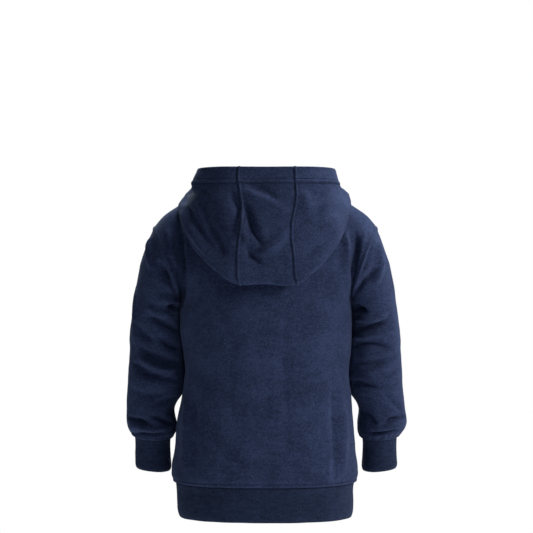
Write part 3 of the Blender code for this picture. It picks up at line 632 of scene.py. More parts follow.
def linked(name: str, data: bpy.types.ID) -> Object:
    """A new object of this data, in the scene."""
    made = bpy.data.objects.new(name, data)
    bpy.context.scene.collection.objects.link(made)
    return made


def smooth_object(name: str, points: Array, faces: Sequence, finish: Material) -> Object:
    """A smooth mesh of one material, in the scene."""
    mesh = bpy.data.meshes.new(name)
    mesh.from_pydata(points, [], faces)
    mesh.polygons.foreach_set("use_smooth", np.ones(len(mesh.polygons), bool))
    mesh.materials.append(finish)
    mesh.update()
    return linked(name, mesh)


def quads_of(index: Array) -> Array:
    """The cells of a grid of vertex numbers, four corners each."""
    a, b, c, d = index[:-1, :-1], index[:-1, 1:], index[1:, 1:], index[1:, :-1]
    return np.stack([a, b, c, d], axis=-1).reshape(-1, 4)


def cloth_object(
    name: str, cloth: Cloth, faces: Sequence[Array], finish: Material, marks: dict[str, Array]
) -> Object:
    """A closed wall of cloth between two grids, with its own UV map in metres.

    Args:
        name: The piece's name.
        cloth: The cloth, for its lengths.
        faces: Points of its outer and inner face.
        finish: Its material.
        marks: Numbers for each point of the grid, by the name of their attribute.

    Returns:
        The object.
    """
    outer, inner = faces
    rows, columns = outer.shape[:2]
    u = cloth.across.mean(axis=0)
    if cloth.closed_round:
        gap = np.linalg.norm(cloth.grid[:, 0] - cloth.grid[:, -1], axis=-1).mean()
        u = np.append(u, u[-1] + gap)
    wide = len(u)
    uv = np.stack(np.broadcast_arrays(u[None, :], cloth.down.mean(axis=1)[:, None]), axis=-1)
    index = np.arange(rows * wide).reshape(rows, wide)
    skin = quads_of(index)
    rims = [index[0, ::-1], index[-1]]
    if not cloth.closed_round:
        rims += [index[:, 0], index[::-1, -1]]
    corners, far = [skin, skin[:, ::-1]], [0 * skin, 0 * skin + 1]
    for rim in rims:
        corners.append(np.stack([rim[:-1], rim[1:], rim[1:], rim[:-1]], axis=-1))
        far.append(np.tile([0, 0, 1, 1], (len(rim) - 1, 1)))
    corner, far = np.concatenate(corners), np.concatenate(far)
    vertex = (corner // wide) * columns + (corner % wide) % columns + far * rows * columns
    facing = np.cross(outer[:-1, 1:] - outer[:-1, :-1], outer[1:, :-1] - outer[:-1, :-1])
    if np.sum(facing * (outer - inner)[:-1, :-1]) < 0:
        corner, vertex = corner[:, ::-1], vertex[:, ::-1]
    points = np.concatenate([outer.reshape(-1, 3), inner.reshape(-1, 3)])
    piece = smooth_object(name, points, vertex, finish)
    layer = piece.data.uv_layers.new(name="cloth")
    layer.data.foreach_set("uv", uv.reshape(-1, 2)[corner.reshape(-1)].astype(np.float32).ravel())
    for mark, numbers in marks.items():
        both = np.concatenate([numbers.ravel(), numbers.ravel()]).astype(np.float32)
        piece.data.attributes.new(mark, "FLOAT", "POINT").data.foreach_set("value", both)
    piece.data.update()
    return piece


# --- Seams and stitches ---


@dataclass(frozen=True)
class CoverSeam:
    """A seam's turned-in cloth held down by two rows of stitches: a ridge between dents."""

    middle: float = 0.0030  # from the seam line to the ridge
    half_width: float = 0.0017
    rise: float = 0.0014
    row_off: float = 0.0023  # from the ridge's middle to each row of stitches
    dent: float = 0.0004
    dent_width: float = 0.0006
    mark_width: float = 0.0009

    def relief(self, distance: Array) -> Array:
        """A round ridge less a narrow dent at each row, by the way from the seam line."""
        off = distance - self.middle
        ridge = self.rise * np.exp(-((off / self.half_width) ** 2))
        dents = sum(
            np.exp(-(((off - side * self.row_off) / self.dent_width) ** 2)) for side in (-1, 1)
        )
        return ridge - self.dent * dents

    def mark(self, distance: Array) -> Array:
        """1 at each row of stitches, fading within a millimetre: the mask of painted shade in the
        stitch dents.
        """
        off = np.abs(np.abs(distance - self.middle) - self.row_off)
        return np.exp(-((off / self.mark_width) ** 2))

    def rows(self) -> Span:
        """The two rows' distances from the seam line."""
        return self.middle - self.row_off, self.middle + self.row_off


class Slot(Enum):
    """The record's material slots."""

    FLEECE = "fleece"
    RIB = "rib_knit"


@dataclass
class Stitches:
    """Rows of lockstitch: each stitch a short rounded thread that dips at its ends."""

    name: str
    pitch: float = 0.0029
    length: float = 0.0021
    radius: float = 0.00030
    sides: int = 6
    margins: Span = (0.6, 0.5)  # pitches left free at a row's ends
    ahead: float = 0.0008  # each way from a stitch, to read its direction
    profile: Table = (  # along it, its thickness and its lift
        (-0.5, -0.36, 0.0, 0.36, 0.5), (0.35, 0.85, 1.0, 0.85, 0.35), (-1.0, -0.1, 0.25, -0.1, -1.0)
    )  # fmt: skip
    lines: list[tuple[Array, Array]] = field(default_factory=list)

    def follow(self, points: Array, outward: Array, level: Array, target: float) -> None:
        """Adds a row where each grid line down the first axis passes a level.

        Args:
            points: The cloth's outer face.
            outward: The way off it.
            level: A number that grows or falls down each column.
            target: The level that the row follows.
        """
        grows = level[-1] > level[0]
        passed = np.where(grows[None, :], level >= target, level <= target)
        index = np.clip(np.argmax(passed, axis=0), 1, len(level) - 1)
        column = np.arange(points.shape[1])
        before, after = level[index - 1, column], level[index, column]
        share = np.clip((target - before) / (after - before + 1e-12), 0.0, 1.0)[:, None]
        place = points[index - 1, column] * (1 - share) + points[index, column] * share
        away = outward[index - 1, column] * (1 - share) + outward[index, column] * share
        self.lines.append((place, along_unit(away)))

    def along(self, seam: CoverSeam, points: Array, outward: Array, distance: Array) -> None:
        """Adds both rows of a seam, by each point's distance from the seam line."""
        for target in seam.rows():
            self.follow(points, outward, distance, target)

    def build(self, finish: Material) -> Object:
        """Makes all the stitches as one mesh that rides with the cloth.

        Args:
            finish: The thread's material.

        Returns:
            The object.
        """

        def read(values: Array, run: Array, where: Array) -> Array:
            """Each coordinate at these lengths along a row."""
            return np.stack([np.interp(where, run, values[:, k]) for k in range(3)], axis=-1)

        parts = []
        for place, away in self.lines:
            run = run_along(place)
            first, last = self.margins[0] * self.pitch, run[-1] - self.margins[1] * self.pitch
            at = np.arange(first, last, self.pitch)
            way = read(place, run, at + self.ahead) - read(place, run, at - self.ahead)
            parts.append((read(place, run, at), along_unit(way), along_unit(read(away, run, at))))
        middle, way, away = (np.concatenate(part)[:, None, None] for part in zip(*parts))
        side = along_unit(np.cross(way, away))
        along = np.array(self.profile[0])[:, None, None] * self.length
        thick, lift = np.array(self.profile[1:])[..., None] * self.radius
        turn = np.linspace(0, 2 * math.pi, self.sides + 1)[:-1]
        ring = (
            middle
            + way * along
            + away * (lift + thick * np.sin(turn))[..., None]
            + side * (thick * np.cos(turn))[..., None]
        )
        index = np.arange(len(along) * self.sides).reshape(-1, self.sides)
        shift = np.arange(len(middle))[:, None, None] * index.size
        cells = quads_of(np.concatenate([index, index[:, :1]], axis=1))
        faces = (cells[None] + shift).reshape(-1, 4).tolist()
        for cap in (index[0, ::-1], index[-1]):
            faces += (cap[None] + shift[:, 0]).tolist()
        piece = smooth_object(self.name, ring.reshape(-1, 3).tolist(), faces, finish)
        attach(piece, "root")
        return piece


# --- Shapes of the garment ---


@dataclass(frozen=True)
class BodyShape:
    """The body's surfaces: horizontal sections below, a yoke over the shoulders above."""

    squareness: float = 2.5
    neck_half_width: float = 0.065
    neck_point_height: float = 0.012
    neck_centre_y: float = -0.005
    neck_depth: Span = (0.050, 0.055)  # back, front
    neck_drop: Span = (0.012, 0.065)
    underarm_x: float = 0.1030
    shoulder_x: float = 0.1338
    shoulder_height: float = -0.0314
    armhole_half_depth: float = 0.050
    armhole_bow: float = 0.0040
    middle_roundness: Span = (0.60, 0.25)  # of the yoke, back and front
    round_from: Span = (0.25, 0.60)  # where it grows round, across a panel
    bulge: float = 3.2  # the power by which the rows reach out to the armhole

    @staticmethod
    def right_pulled_in(points: Array) -> Array:
        """The same points with the right half a little nearer the middle."""
        points[..., 0] *= np.where(points[..., 0] < 0, RIGHT_SHARE, 1.0)
        return points

    def ring_half(
        self, sections: Sequence[BodySection], side: int, u: Array, height: Array
    ) -> Array:
        """Half a horizontal section.

        Args:
            sections: The table.
            side: 1 for the back, -1 for the front.
            u: From right (-1) to left (1).
            height: The level of each point.

        Returns:
            Points.
        """
        at = columns_at(sections, "height", height)
        across, away = half_turn(u, self.squareness)
        x = across * np.where(u > 0, at.left, at.right)
        y = side * away * (at.back if side > 0 else at.front)
        return np.stack([x, y, height + 0.0 * x], axis=-1)

    def top_edge(self, side: int, u: Array) -> Array:
        """The neckline and the two shoulder seams along a panel's top.

        Args:
            side: 1 for the back, -1 for the front.
            u: From right (-1) to left (1).

        Returns:
            Points.
        """
        face = 0 if side > 0 else 1
        turn = np.clip(np.abs(u) / NECK_SHARE, 0.0, 1.0) * math.pi / 2
        x = self.neck_half_width * np.sin(turn)
        y = self.neck_centre_y + side * self.neck_depth[face] * np.cos(turn)
        neck = np.stack(
            [x, y, self.neck_point_height - self.neck_drop[face] * np.cos(turn) ** 2], axis=-1
        )
        share = np.clip((np.abs(u) - NECK_SHARE) / (1 - NECK_SHARE), 0.0, 1.0)
        shoulder = np.stack(columns_at(SHOULDER_SEAM, "share", share)[1:], axis=-1)
        edge = np.where((np.abs(u) > NECK_SHARE)[..., None], shoulder, neck)
        edge[..., 0] *= np.sign(u)
        return self.right_pulled_in(edge)

    def armhole(self, turn: Array) -> Array:
        """The left armhole loop: 0 at the shoulder, a quarter turn at the back."""
        top = np.array([self.shoulder_x, self.shoulder_height])
        bottom = np.array([self.underarm_x, UNDERARM_HEIGHT])
        loop = (top + bottom) / 2 + np.cos(turn)[..., None] * ((top - bottom) / 2)
        x = loop[..., 0] - self.armhole_bow * np.abs(np.sin(turn))
        return np.stack([x, self.armhole_half_depth * np.sin(turn), loop[..., 1]], axis=-1)

    def panel(self, side: int, u: Array, v: Array) -> Array:
        """The front or back at matching arrays of u and v.

        Below the underarm a point lies on its level's section. Above it the rows swing
        over the shoulder as quarter ellipses, and bulge at their ends to the armhole.

        Args:
            side: 1 for the back, -1 for the front.
            u: From right (-1) to left (1).
            v: From the waistband seam (0) to the shoulder (1).

        Returns:
            Points.
        """
        low = np.clip(v / YOKE_START, 0.0, 1.0)
        high = np.clip((v - YOKE_START) / (1 - YOKE_START), 0.0, 1.0)
        level = np.full_like(u, UNDERARM_HEIGHT)
        body = self.ring_half(BODY_SECTIONS, side, u, BODY_END + low * (UNDERARM_HEIGHT - BODY_END))
        start = self.ring_half(BODY_SECTIONS, side, u, level)
        middle = self.middle_roundness[0 if side > 0 else 1]
        roundness = middle + (1 - middle) * smooth_step(np.abs(u), *self.round_from)
        turn = high * math.pi / 2
        rise = (1 - roundness) * high + roundness * np.sin(turn)
        lean = (1 - roundness) * high + roundness * (1 - np.cos(turn))
        yoke = start + (self.top_edge(side, u) - start) * np.stack([high, lean, rise], axis=-1)
        rim = self.armhole(side * math.pi * (1 - high))
        rim[..., 0] *= np.sign(u)
        rim = self.right_pulled_in(rim)
        ends = np.sign(u) + (u == 0)
        rim_start = self.ring_half(BODY_SECTIONS, side, ends, level)
        swing = np.stack([high, 1 - np.cos(turn), np.sin(turn)], axis=-1)
        chord = rim_start + (self.top_edge(side, ends) - rim_start) * swing
        yoke += (rim - chord) * (np.abs(u) ** self.bulge)[..., None]
        return np.where((v > YOKE_START)[..., None], yoke, body)

    def point(self, side: int, u: Array, v: Array) -> tuple[Array, Array]:
        """Points of a panel with the way off the cloth at each."""
        v = np.minimum(v, 1 - 2 * SLOPE_STEP)
        across = self.panel(side, u + SLOPE_STEP, v) - self.panel(side, u - SLOPE_STEP, v)
        up = self.panel(side, u, v + SLOPE_STEP) - self.panel(side, u, v - SLOPE_STEP)
        return self.panel(side, u, v), along_unit(side * np.cross(up, across))

    def reach(self, right: bool, y: Array, z: Array) -> Array:
        """How far the body reaches to one side at each y and z below the underarm."""
        at = columns_at(BODY_SECTIONS, "height", np.clip(z, BODY_END, UNDERARM_HEIGHT))
        depth = np.where(y > 0, at.back, at.front)
        inside = np.clip(1 - (np.abs(y) / depth) ** self.squareness, 0.0, 1.0)
        return (at.right if right else at.left) * inside ** (1 / self.squareness)


@dataclass(frozen=True)
class SleeveShape:
    """A sleeve's or cuff's rings."""

    body: BodyShape
    squareness: float = 2.15
    clearance: float = 0.0003
    armhole_clearance: float = 0.0002
    off_armhole: Numbers = (0.94, 0.0, -0.34)
    settle: float = 0.30  # where the rings have left the armhole's shape
    hug: float = 0.0045  # how near the body's side a point is drawn to it
    hug_from: float = 0.012  # how far below the underarm it hugs fully
    press: float = 0.005  # how near it a trough gives way

    def ring(
        self, sections: Sequence[SleeveSection], right: bool, turn: Array, share: Array
    ) -> Array:
        """Points of rings that lean as the table says.

        Args:
            sections: The table.
            right: Whether it is the right side, given before it is mirrored.
            turn: Angle round it, 0 outside and a quarter turn behind.
            share: From its start (0) to its end (1).

        Returns:
            Points.
        """
        at = columns_at(sections, "share", share)
        outer_x = at.outer_x - right * at.right_in
        across, deep = (
            np.sign(way) * np.abs(way) ** (2 / self.squareness)
            for way in (np.cos(turn), np.sin(turn))
        )
        x = (outer_x + at.inner_x) / 2 + across * (outer_x - at.inner_x) / 2
        z = (at.outer_z + at.inner_z) / 2 + across * (at.outer_z - at.inner_z) / 2
        z = z - deep * at.half_depth * at.pitch
        return np.stack([x, at.y + deep * at.half_depth, z], axis=-1)

    def sleeve(self, right: bool, turn: Array, share: Array) -> Array:
        """A sleeve: it starts on the armhole loop and lies against the body's side.

        Args:
            right: Whether it is the right side, given before it is mirrored.
            turn: Angle round it.
            share: From the armhole (0) to the cuff (1).

        Returns:
            Points.
        """
        grid = self.ring(SLEEVE_SECTIONS, right, turn, share)
        first = self.ring(SLEEVE_SECTIONS, False, turn, np.zeros_like(share))
        fade = (1 - smooth_step(share, 0.0, self.settle))[..., None]
        grid = grid + fade * (self.body.armhole(turn) - first)
        grid = grid + fade * np.array(self.off_armhole) * self.armhole_clearance
        if right:
            grid[..., 0] *= 1 - (1 - RIGHT_SHARE) * fade[..., 0]
        away = self.off_body(right, grid)
        hugs = np.exp(-((away / self.hug) ** 2))
        hugs *= smooth_step(BESIDE_BODY - grid[..., 2], 0.0, self.hug_from)
        grid[..., 0] -= np.clip(away, 0.0, None) * hugs
        return self.clear_of_body(right, grid)

    def off_body(self, right: bool, grid: Array) -> Array:
        """How far each point is from where it would rest on the body's side."""
        return grid[..., 0] - self.body.reach(right, grid[..., 1], grid[..., 2]) - self.clearance

    def pressed(self, right: bool, grid: Array) -> Array:
        """1 where a sleeve touches the body's side, falling to 0 some millimetres off."""
        near = np.exp(-((np.clip(self.off_body(right, grid), 0.0, None) / self.press) ** 2))
        return near * smooth_step(BESIDE_BODY - grid[..., 2], 0.0, 0.004)

    def clear_of_body(self, right: bool, grid: Array) -> Array:
        """The same points, moved sideways where they would be nearer the body."""
        limit = self.body.reach(right, grid[..., 1], grid[..., 2]) + self.clearance
        beside = grid[..., 2] < BESIDE_BODY
        grid[..., 0] = np.where(beside, np.maximum(grid[..., 0], limit), grid[..., 0])
        return grid


@dataclass(frozen=True)
class HoodShape:
    """The hood's sections: neck seam, roll, lying layer, lowest fold and hanging layer."""

    body: BodyShape
    neck_read: float = 0.975  # where a panel's slope is read for the neckline
    neck_turn: Span = (0.42, 0.58)  # where the back's slope gives way to the front's
    neck_clearance: float = 0.0011
    stand: float = 0.0085  # how high the neck seam's roll stands
    front_stand_loss: float = 0.3
    lift: float = 0.0054  # of the lying layer off the body
    roll: float = 0.0080
    meets: float = 0.97  # how far round the front the two sides come to meet
    knots: Numbers = (
        0.00, 0.04, 0.08, 0.13, 0.20, 0.27, 0.34, 0.40, 0.47, 0.53, 0.65, 0.81, 1.00
    )  # fmt: skip
    lies: Numbers = (0.00, 0.24, 0.50, 0.76, 1.00)
    lie_start: float = 0.16
    short_roll: float = 0.35  # the most that a roll takes of a short lying layer
    roll_to_lie: float = 1.7
    roll_start: float = 0.2  # of a roll, from the neck seam to the roll's top
    stand_left: float = 0.75  # of the stand, where the roll ends
    # Up the hanging layer, its puff, and how far from the neck it is where it lies flat.
    hanging: Table = ((0.07, 0.35, 0.93), (0.35, 1.0, 0.72), (0.68, 0.6, 0.40))
    ply_gap: float = 0.0035
    front_fold_out: float = 0.0030  # the turned fold beyond the lying layer's end
    front_edge_rise: float = 0.0065  # the open edge above the roll, in front
    front_edge_over: float = 0.0040
    lies_flat: Span = (0.40, 0.54)  # where the hanging back gives way to the flat front
    shoulder_ease: float = 0.06
    shoulder_width: float = 0.09
    shoulder_lift: float = 0.0030
    seam_knots: int = 3  # that keep to the neck seam
    shift_reach: Span = (0.068, 0.092)  # how far out the side shifts begin and are full
    side_shifts: Table = (  # height, left, right
        (-0.0300, 0.0000, 0.0000), (-0.0150, 0.0012, 0.0003), (-0.0074, 0.0014, 0.0006),
        (-0.0005, -0.0022, -0.0004), (0.0058, -0.0052, -0.0018), (0.0100, -0.0034, -0.0012),
        (0.0150, 0.0004, -0.0004), (0.0226, 0.0014, -0.0008), (0.0320, 0.0004, -0.0005),
        (0.0440, 0.0000, 0.0000),
    )  # fmt: skip
    ease_steps: Table = (
        (-1.0, 0.15), (-0.5, 0.22), (0.0, 0.26), (0.5, 0.22), (1.0, 0.15)
    )  # fmt: skip

    def on_body(self, share: Array, u: Array, v: Array) -> tuple[Array, Array]:
        """Points on the back or front, and the way off the cloth at each."""
        back, back_out = self.body.point(1, u, v)
        front, front_out = self.body.point(-1, u, v)
        on_back = (share <= 0.5)[:, None]
        return np.where(on_back, back, front), np.where(on_back, back_out, front_out)

    def neck_frame(self, share: Array, neck_u: Array, outward: Array) -> tuple[Array, ...]:
        """Points of the neckline, with the ways off the cloth and over it from each."""
        on_back = (np.abs(share) <= 0.5)[:, None]

        def line(u: Array) -> Array:
            """The neckline at each u."""
            return np.where(on_back, self.body.top_edge(1, u), self.body.top_edge(-1, u))

        run = along_unit(line(neck_u + SLOPE_STEP) - line(neck_u - SLOPE_STEP))
        near_v = np.full_like(share, self.neck_read)
        _, back_off = self.body.point(1, neck_u, near_v)
        _, front_off = self.body.point(-1, neck_u, near_v)
        to_front = smooth_step(np.abs(share), *self.neck_turn)[:, None]
        off = back_off + (front_off - back_off) * to_front
        off = along_unit(off - np.sum(off * run, axis=-1, keepdims=True) * run)
        over = np.cross(run, off)
        over *= np.sign(np.sum(over * outward, axis=-1, keepdims=True))
        return line(neck_u), off, over

    def over_shoulder(self, share: Array) -> Array:
        """1 at each shoulder, falling off to both sides of it."""
        return np.exp(-(((np.abs(share) - 0.5) / self.shoulder_width) ** 2))

    def sections(self, share: Array) -> Array:
        """The points that each section of the hood passes through.

        Args:
            share: The way round it, -1 to 1, 0 at the back.

        Returns:
            Points by knot and share, on the cloth's inner face.
        """
        side = np.sign(share) + (share == 0)
        reach = np.abs(share)
        at = columns_at(HOOD_SECTIONS, "share", reach)
        round_front = 1 - self.meets * (2 * reach - 1)
        neck_u = side * NECK_SHARE * np.where(reach <= 0.5, 2 * reach, round_front)
        lie_u, every = side * at.lie_u, np.ones_like(reach)
        outward = np.stack([np.sin(np.pi * share), np.cos(np.pi * share), 0 * reach], axis=-1)
        neck, off, over = self.neck_frame(share, neck_u, outward)
        stand = self.stand * (1 - self.front_stand_loss * reach)[:, None]
        flat = smooth_step(reach, *self.lies_flat)[:, None]
        off_body = self.lift + (self.shoulder_lift * self.over_shoulder(share))[:, None]
        fold_x = side * np.where(side > 0, at.fold_left, at.fold_right)
        fold = np.stack([fold_x, at.fold_y, at.fold_z], axis=-1) - outward * FLEECE
        edge = np.stack([side * at.edge_x, at.edge_y, at.edge_z], axis=-1) - outward * FLEECE

        def lie(part: Array, lift: Array) -> Array:
            """A place of the lying layer, part of the way from the neck to the fold."""
            u = neck_u + (lie_u - neck_u) * part
            v = 1 - (1 - YOKE_START) * (1 - at.lie_rise) * part
            point, away = self.on_body(reach, u, v)
            straight = neck + (lie_end - neck) * part[:, None]
            sideways = point - straight
            sideways -= away * np.sum(sideways * away, axis=-1, keepdims=True)
            return point - sideways * flat + lift * away

        def upper(part: float, puff: float, flat_part: float) -> Array:
            """A place of the hanging layer, or of the upper one where it lies flat."""
            hanging = fold + (edge - fold) * part + outward * (puff * at.puff)[:, None]
            flat_lying = lie(flat_part * every, off_body + self.ply_gap)
            return hanging + (flat_lying - hanging) * flat

        lie_end, _ = self.on_body(reach, lie_u, 1 - (1 - YOKE_START) * (1 - at.lie_rise))
        lie_length = np.linalg.norm(lie_end - neck, axis=-1)
        roll = np.minimum(self.roll, self.short_roll * lie_length)
        start = np.maximum(self.lie_start, self.roll_to_lie * roll / lie_length)
        roll = roll[:, None]
        turned = lie(every, off_body + self.ply_gap / 2)
        turned += along_unit(turned - neck) * self.front_fold_out
        front_edge = neck + off * (stand + self.front_edge_rise) + over * self.front_edge_over
        return np.stack(
            [
                neck + off * self.neck_clearance - over * FLEECE,
                neck + off * stand + over * (self.roll_start * roll - 0.5 * FLEECE),
                neck + off * (self.stand_left * stand) + over * roll,
                *[lie(start + (1 - start) * part, off_body) for part in self.lies],
                fold + (turned - fold) * flat,
                *[upper(*place) for place in self.hanging],
                edge + (front_edge - edge) * flat,
            ]
        )

    def at(self, share: Array, along: Array) -> Array:
        """The hood's inner face at shares round it and, for each, places along it.

        Over the shoulders, where the hanging back gives way to the flat front, each
        section is the mean of its neighbours, so that the cloth turns without a corner,
        and its sides are moved out or in a little at each height.
        """
        spread = self.shoulder_ease * self.over_shoulder(share)
        eased = sum(
            weight * self.sections(share + step * spread) for step, weight in self.ease_steps
        )
        eased[: self.seam_knots] = self.sections(share)[: self.seam_knots]
        grid = through(self.knots, eased, along)
        heights, *shifts = np.array(self.side_shifts).T
        level = np.clip(grid[..., 2], heights[0], heights[-1])
        out = through(heights, np.stack(shifts, axis=-1), level)
        out = np.where(grid[..., 0] > 0, out[..., 0], -out[..., 1])
        grid[..., 0] += out * smooth_step(np.abs(grid[..., 0]), *self.shift_reach)
        return grid


# --- Finishes ---


class NodeBoard:
    """A short way to lay out a material's nodes."""

    def __init__(self, name: str) -> None:
        """Starts a material with one Principled shader."""
        self.material = bpy.data.materials.new(name)
        self.material.use_nodes = True
        self.tree = self.material.node_tree
        self.shader = self.tree.nodes["Principled BSDF"]

    def node(self, kind: str, **settings: object) -> bpy.types.Node:
        """Adds a node, with its settings and its sockets' values by name.

        Args:
            kind: The node's type, without its Shader Node prefix.
            settings: Attributes of the node, or links and values for its inputs, whose
                names are in_ and the input's number.

        Returns:
            The node.
        """
        made = self.tree.nodes.new("ShaderNode" + kind)
        for key, value in settings.items():
            if not key.startswith("in_"):
                setattr(made, key, value)
            elif isinstance(value, bpy.types.NodeSocket):
                self.tree.links.new(value, made.inputs[int(key[3:])])
            else:
                made.inputs[int(key[3:])].default_value = value
        return made

    def math(self, operation: str, first: object, second: object = 0.0) -> object:
        """The result of one sum of two sockets or numbers."""
        return self.node("Math", operation=operation, in_0=first, in_1=second).outputs[0]

    def blend(self, *parts: tuple[object, float], shift: float = 0.0) -> object:
        """The sum of some heights, each times its weight, and a shift."""
        total = shift
        for height, weight in parts:
            total = self.math("ADD", self.math("MULTIPLY", height, weight), total)
        return total

    def noise(self, vector: object, scale: float, detail: float, roughness: float = 0.5) -> object:
        """A noise texture's height over a vector."""
        made = self.node("TexNoise", in_0=vector, in_2=scale, in_3=detail, in_4=roughness)
        return made.outputs["Fac"]

    def stretched(self, vector: object, scale: Numbers, turn: float = 0.0) -> object:
        """A vector turned about Y by degrees, then stretched."""
        if turn:
            turned = (0.0, math.radians(turn), 0.0)
            vector = self.node("Mapping", in_0=vector, in_2=turned).outputs[0]
        return self.node("Mapping", in_0=vector, in_3=scale).outputs[0]

    def attribute(self, name: str) -> object:
        """The number that the mesh keeps for each point by this name."""
        return self.node("Attribute", attribute_name=name).outputs["Fac"]

    def place(self) -> object:
        """Where a point is in the garment."""
        return self.node("TexCoord").outputs["Object"]

    def tint(self, share: object, low: Numbers, high: Numbers) -> object:
        """A colour between two, by a share."""
        tones = {"in_6": (*low, 1.0), "in_7": (*high, 1.0)}
        return self.node("Mix", data_type="RGBA", clamp_factor=True, in_0=share, **tones).outputs[2]

    def darken(self, color: object, share: object) -> object:
        """A colour multiplied by a share."""
        return self.node("VectorMath", operation="SCALE", in_0=color, in_3=share).outputs[0]

    def link(self, output: object, socket: str) -> None:
        """Links an output to the shader's socket of that name."""
        self.tree.links.new(output, self.shader.inputs[socket])

    def bump(self, height: object, distance: float, strength: float) -> None:
        """Gives the shader a bump of this height."""
        made = self.node("Bump", in_0=strength, in_1=distance)
        self.tree.links.new(height, made.inputs["Height"])
        self.link(made.outputs[0], "Normal")


@dataclass(frozen=True)
class Finish:
    """What every finish sets: two tones, painted shade at stitches, how matt it is, its sheen and
    its bump.
    """

    name: str
    deep: Numbers
    pale: Numbers
    roughness: float
    specular: float
    bump: Span  # distance and strength
    painted_seam_shade: float = 0.0  # painted shade: how much darker the colour is at stitches
    sheen: float = 0.0
    sheen_roughness: float = 0.5
    sheen_tint: Numbers = (0.55, 0.66, 1.0, 1.0)

    def dressed(self, board: NodeBoard, share: object, height: object) -> Material:
        """Gives a board's shader its colour, constants and bump.

        Args:
            board: The material's nodes.
            share: The way from the deep tone (0) to the pale one (1).
            height: The bump's.

        Returns:
            The material.
        """
        color = board.tint(share, self.deep, self.pale)
        # Painted shade at the stitch rows and seams: the colour darkens by the stitch mask that the
        # mesh keeps.
        if self.painted_seam_shade:
            shade = board.math("MULTIPLY", board.attribute("painted_stitch_shade"), self.painted_seam_shade)
            color = board.darken(color, board.math("SUBTRACT", 1.0, shade))
        board.link(color, "Base Color")
        for socket, value in (
            ("Roughness", self.roughness),
            ("Specular IOR Level", self.specular),
            ("Sheen Weight", self.sheen),
            ("Sheen Roughness", self.sheen_roughness),
            ("Sheen Tint", self.sheen_tint),
        ):
            board.shader.inputs[socket].default_value = value
        board.bump(height, *self.bump)
        return board.material


@dataclass(frozen=True)
class FleeceFinish(Finish):
    """Brushed cotton fleece: a faintly heathered face with short slanting fuzz."""

    name: str = "navy_fleece"
    deep: Numbers = (0.0171, 0.0237, 0.0574)
    pale: Numbers = (0.0428, 0.0592, 0.1340)
    roughness: float = 0.92
    specular: float = 0.07
    bump: Span = (0.0006, 0.55)
    # Painted shade at the stitch rows.
    painted_seam_shade: float = 0.22
    sheen: float = 0.06
    sheen_roughness: float = 0.55

    def material(self) -> Material:
        """Slanting streaks and specks over soft clouds of tone, with painted shade at stitches."""
        board = NodeBoard(self.name)
        place = board.place()
        streak = board.noise(board.stretched(place, (900.0, 900.0, 380.0), 50.0), 1.0, 3.0, 0.6)
        speck = board.noise(place, 1100.0, 2.0, 0.6)
        mottle = board.noise(board.stretched(place, (110.0, 110.0, 280.0)), 1.0, 3.0, 0.6)
        cloud = board.noise(place, 34.0, 4.0)
        grain = board.blend((streak, 0.65), (speck, 0.35))
        share = board.blend((grain, 5.0), (mottle, 1.2), (cloud, 1.3), shift=-3.25)
        return self.dressed(board, share, grain)


@dataclass(frozen=True)
class RibFinish(Finish):
    """Fine rib knit: painted shade in the furrows between its wales, and small loops down each
    wale.
    """

    name: str = "navy_rib"
    deep: Numbers = (0.0086, 0.0130, 0.0308)
    pale: Numbers = (0.0250, 0.0372, 0.0860)
    roughness: float = 0.9
    specular: float = 0.1
    bump: Span = (0.0004, 0.5)
    # Painted shade along the seam to the body, by the mask at the rib's top row.
    painted_seam_shade: float = 0.15
    sheen: float = 0.08
    loop: float = 0.0011  # length of a knitted loop

    def material(self) -> Material:
        """Painted shade by each wale's height, darker in the furrows, specks of fibre, and a wave
        down it for the loops.
        """
        board = NodeBoard(self.name)
        uv = board.node("UVMap", uv_map="cloth").outputs[0]
        speck = board.noise(board.stretched(uv, (700.0, 420.0, 1.0)), 1.0, 4.0, 0.65)
        mottle = board.noise(board.stretched(uv, (120.0, 240.0, 1.0)), 1.0, 3.0, 0.6)
        cloud = board.noise(board.place(), 30.0, 3.0)
        down = board.node("SeparateXYZ", in_0=uv).outputs[1]
        wave = board.blend((speck, 7.0), (down, 2 * math.pi / self.loop))
        height = board.blend((board.math("SINE", wave), 0.15), (speck, 1.0))
        # The wale term is painted shade in the furrows. The specks, mottle and cloud are the knit's
        # own uneven tone.
        tones = (board.attribute("wale"), 0.16), (speck, 2.4), (mottle, 1.3), (cloud, 0.6)
        return self.dressed(board, board.blend(*tones, shift=-1.73), height)


@dataclass(frozen=True)
class ThreadFinish(Finish):
    """Spun polyester thread, a shade darker than the cloth."""

    name: str = "navy_thread"
    deep: Numbers = (0.0080, 0.0115, 0.0280)
    pale: Numbers = (0.0210, 0.0295, 0.0680)
    roughness: float = 0.7
    specular: float = 0.12
    bump: Span = (0.0002, 0.4)

    def material(self) -> Material:
        """Fine specks in space, with hardly any gloss."""
        board = NodeBoard(self.name)
        speck = board.noise(board.place(), 3500.0, 1.0)
        return self.dressed(board, speck, speck)


@dataclass(frozen=True)
class Finishes:
    """The three materials that the pieces share."""

    fleece: Material
    rib: Material
    thread: Material


# --- Pieces ---


def declare(
    piece: Object,
    node: str,
    flat: Span,
    area: float,
) -> None:
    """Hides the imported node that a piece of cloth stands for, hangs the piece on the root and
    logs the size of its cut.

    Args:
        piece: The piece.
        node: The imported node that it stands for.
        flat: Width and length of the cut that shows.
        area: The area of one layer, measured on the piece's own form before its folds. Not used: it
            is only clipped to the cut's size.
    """
    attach(piece, "root")
    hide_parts(node)
    area = min(area, flat[0] * flat[1])
    LOG.info("%s: %d faces, cut %.3f x %.3f m", piece.name, len(piece.data.polygons), *flat)


def mirrored(points: Array, right: bool) -> Array:
    """The same points, across the middle where they are the right side's."""
    return points * (-1.0 if right else 1.0, 1.0, 1.0)


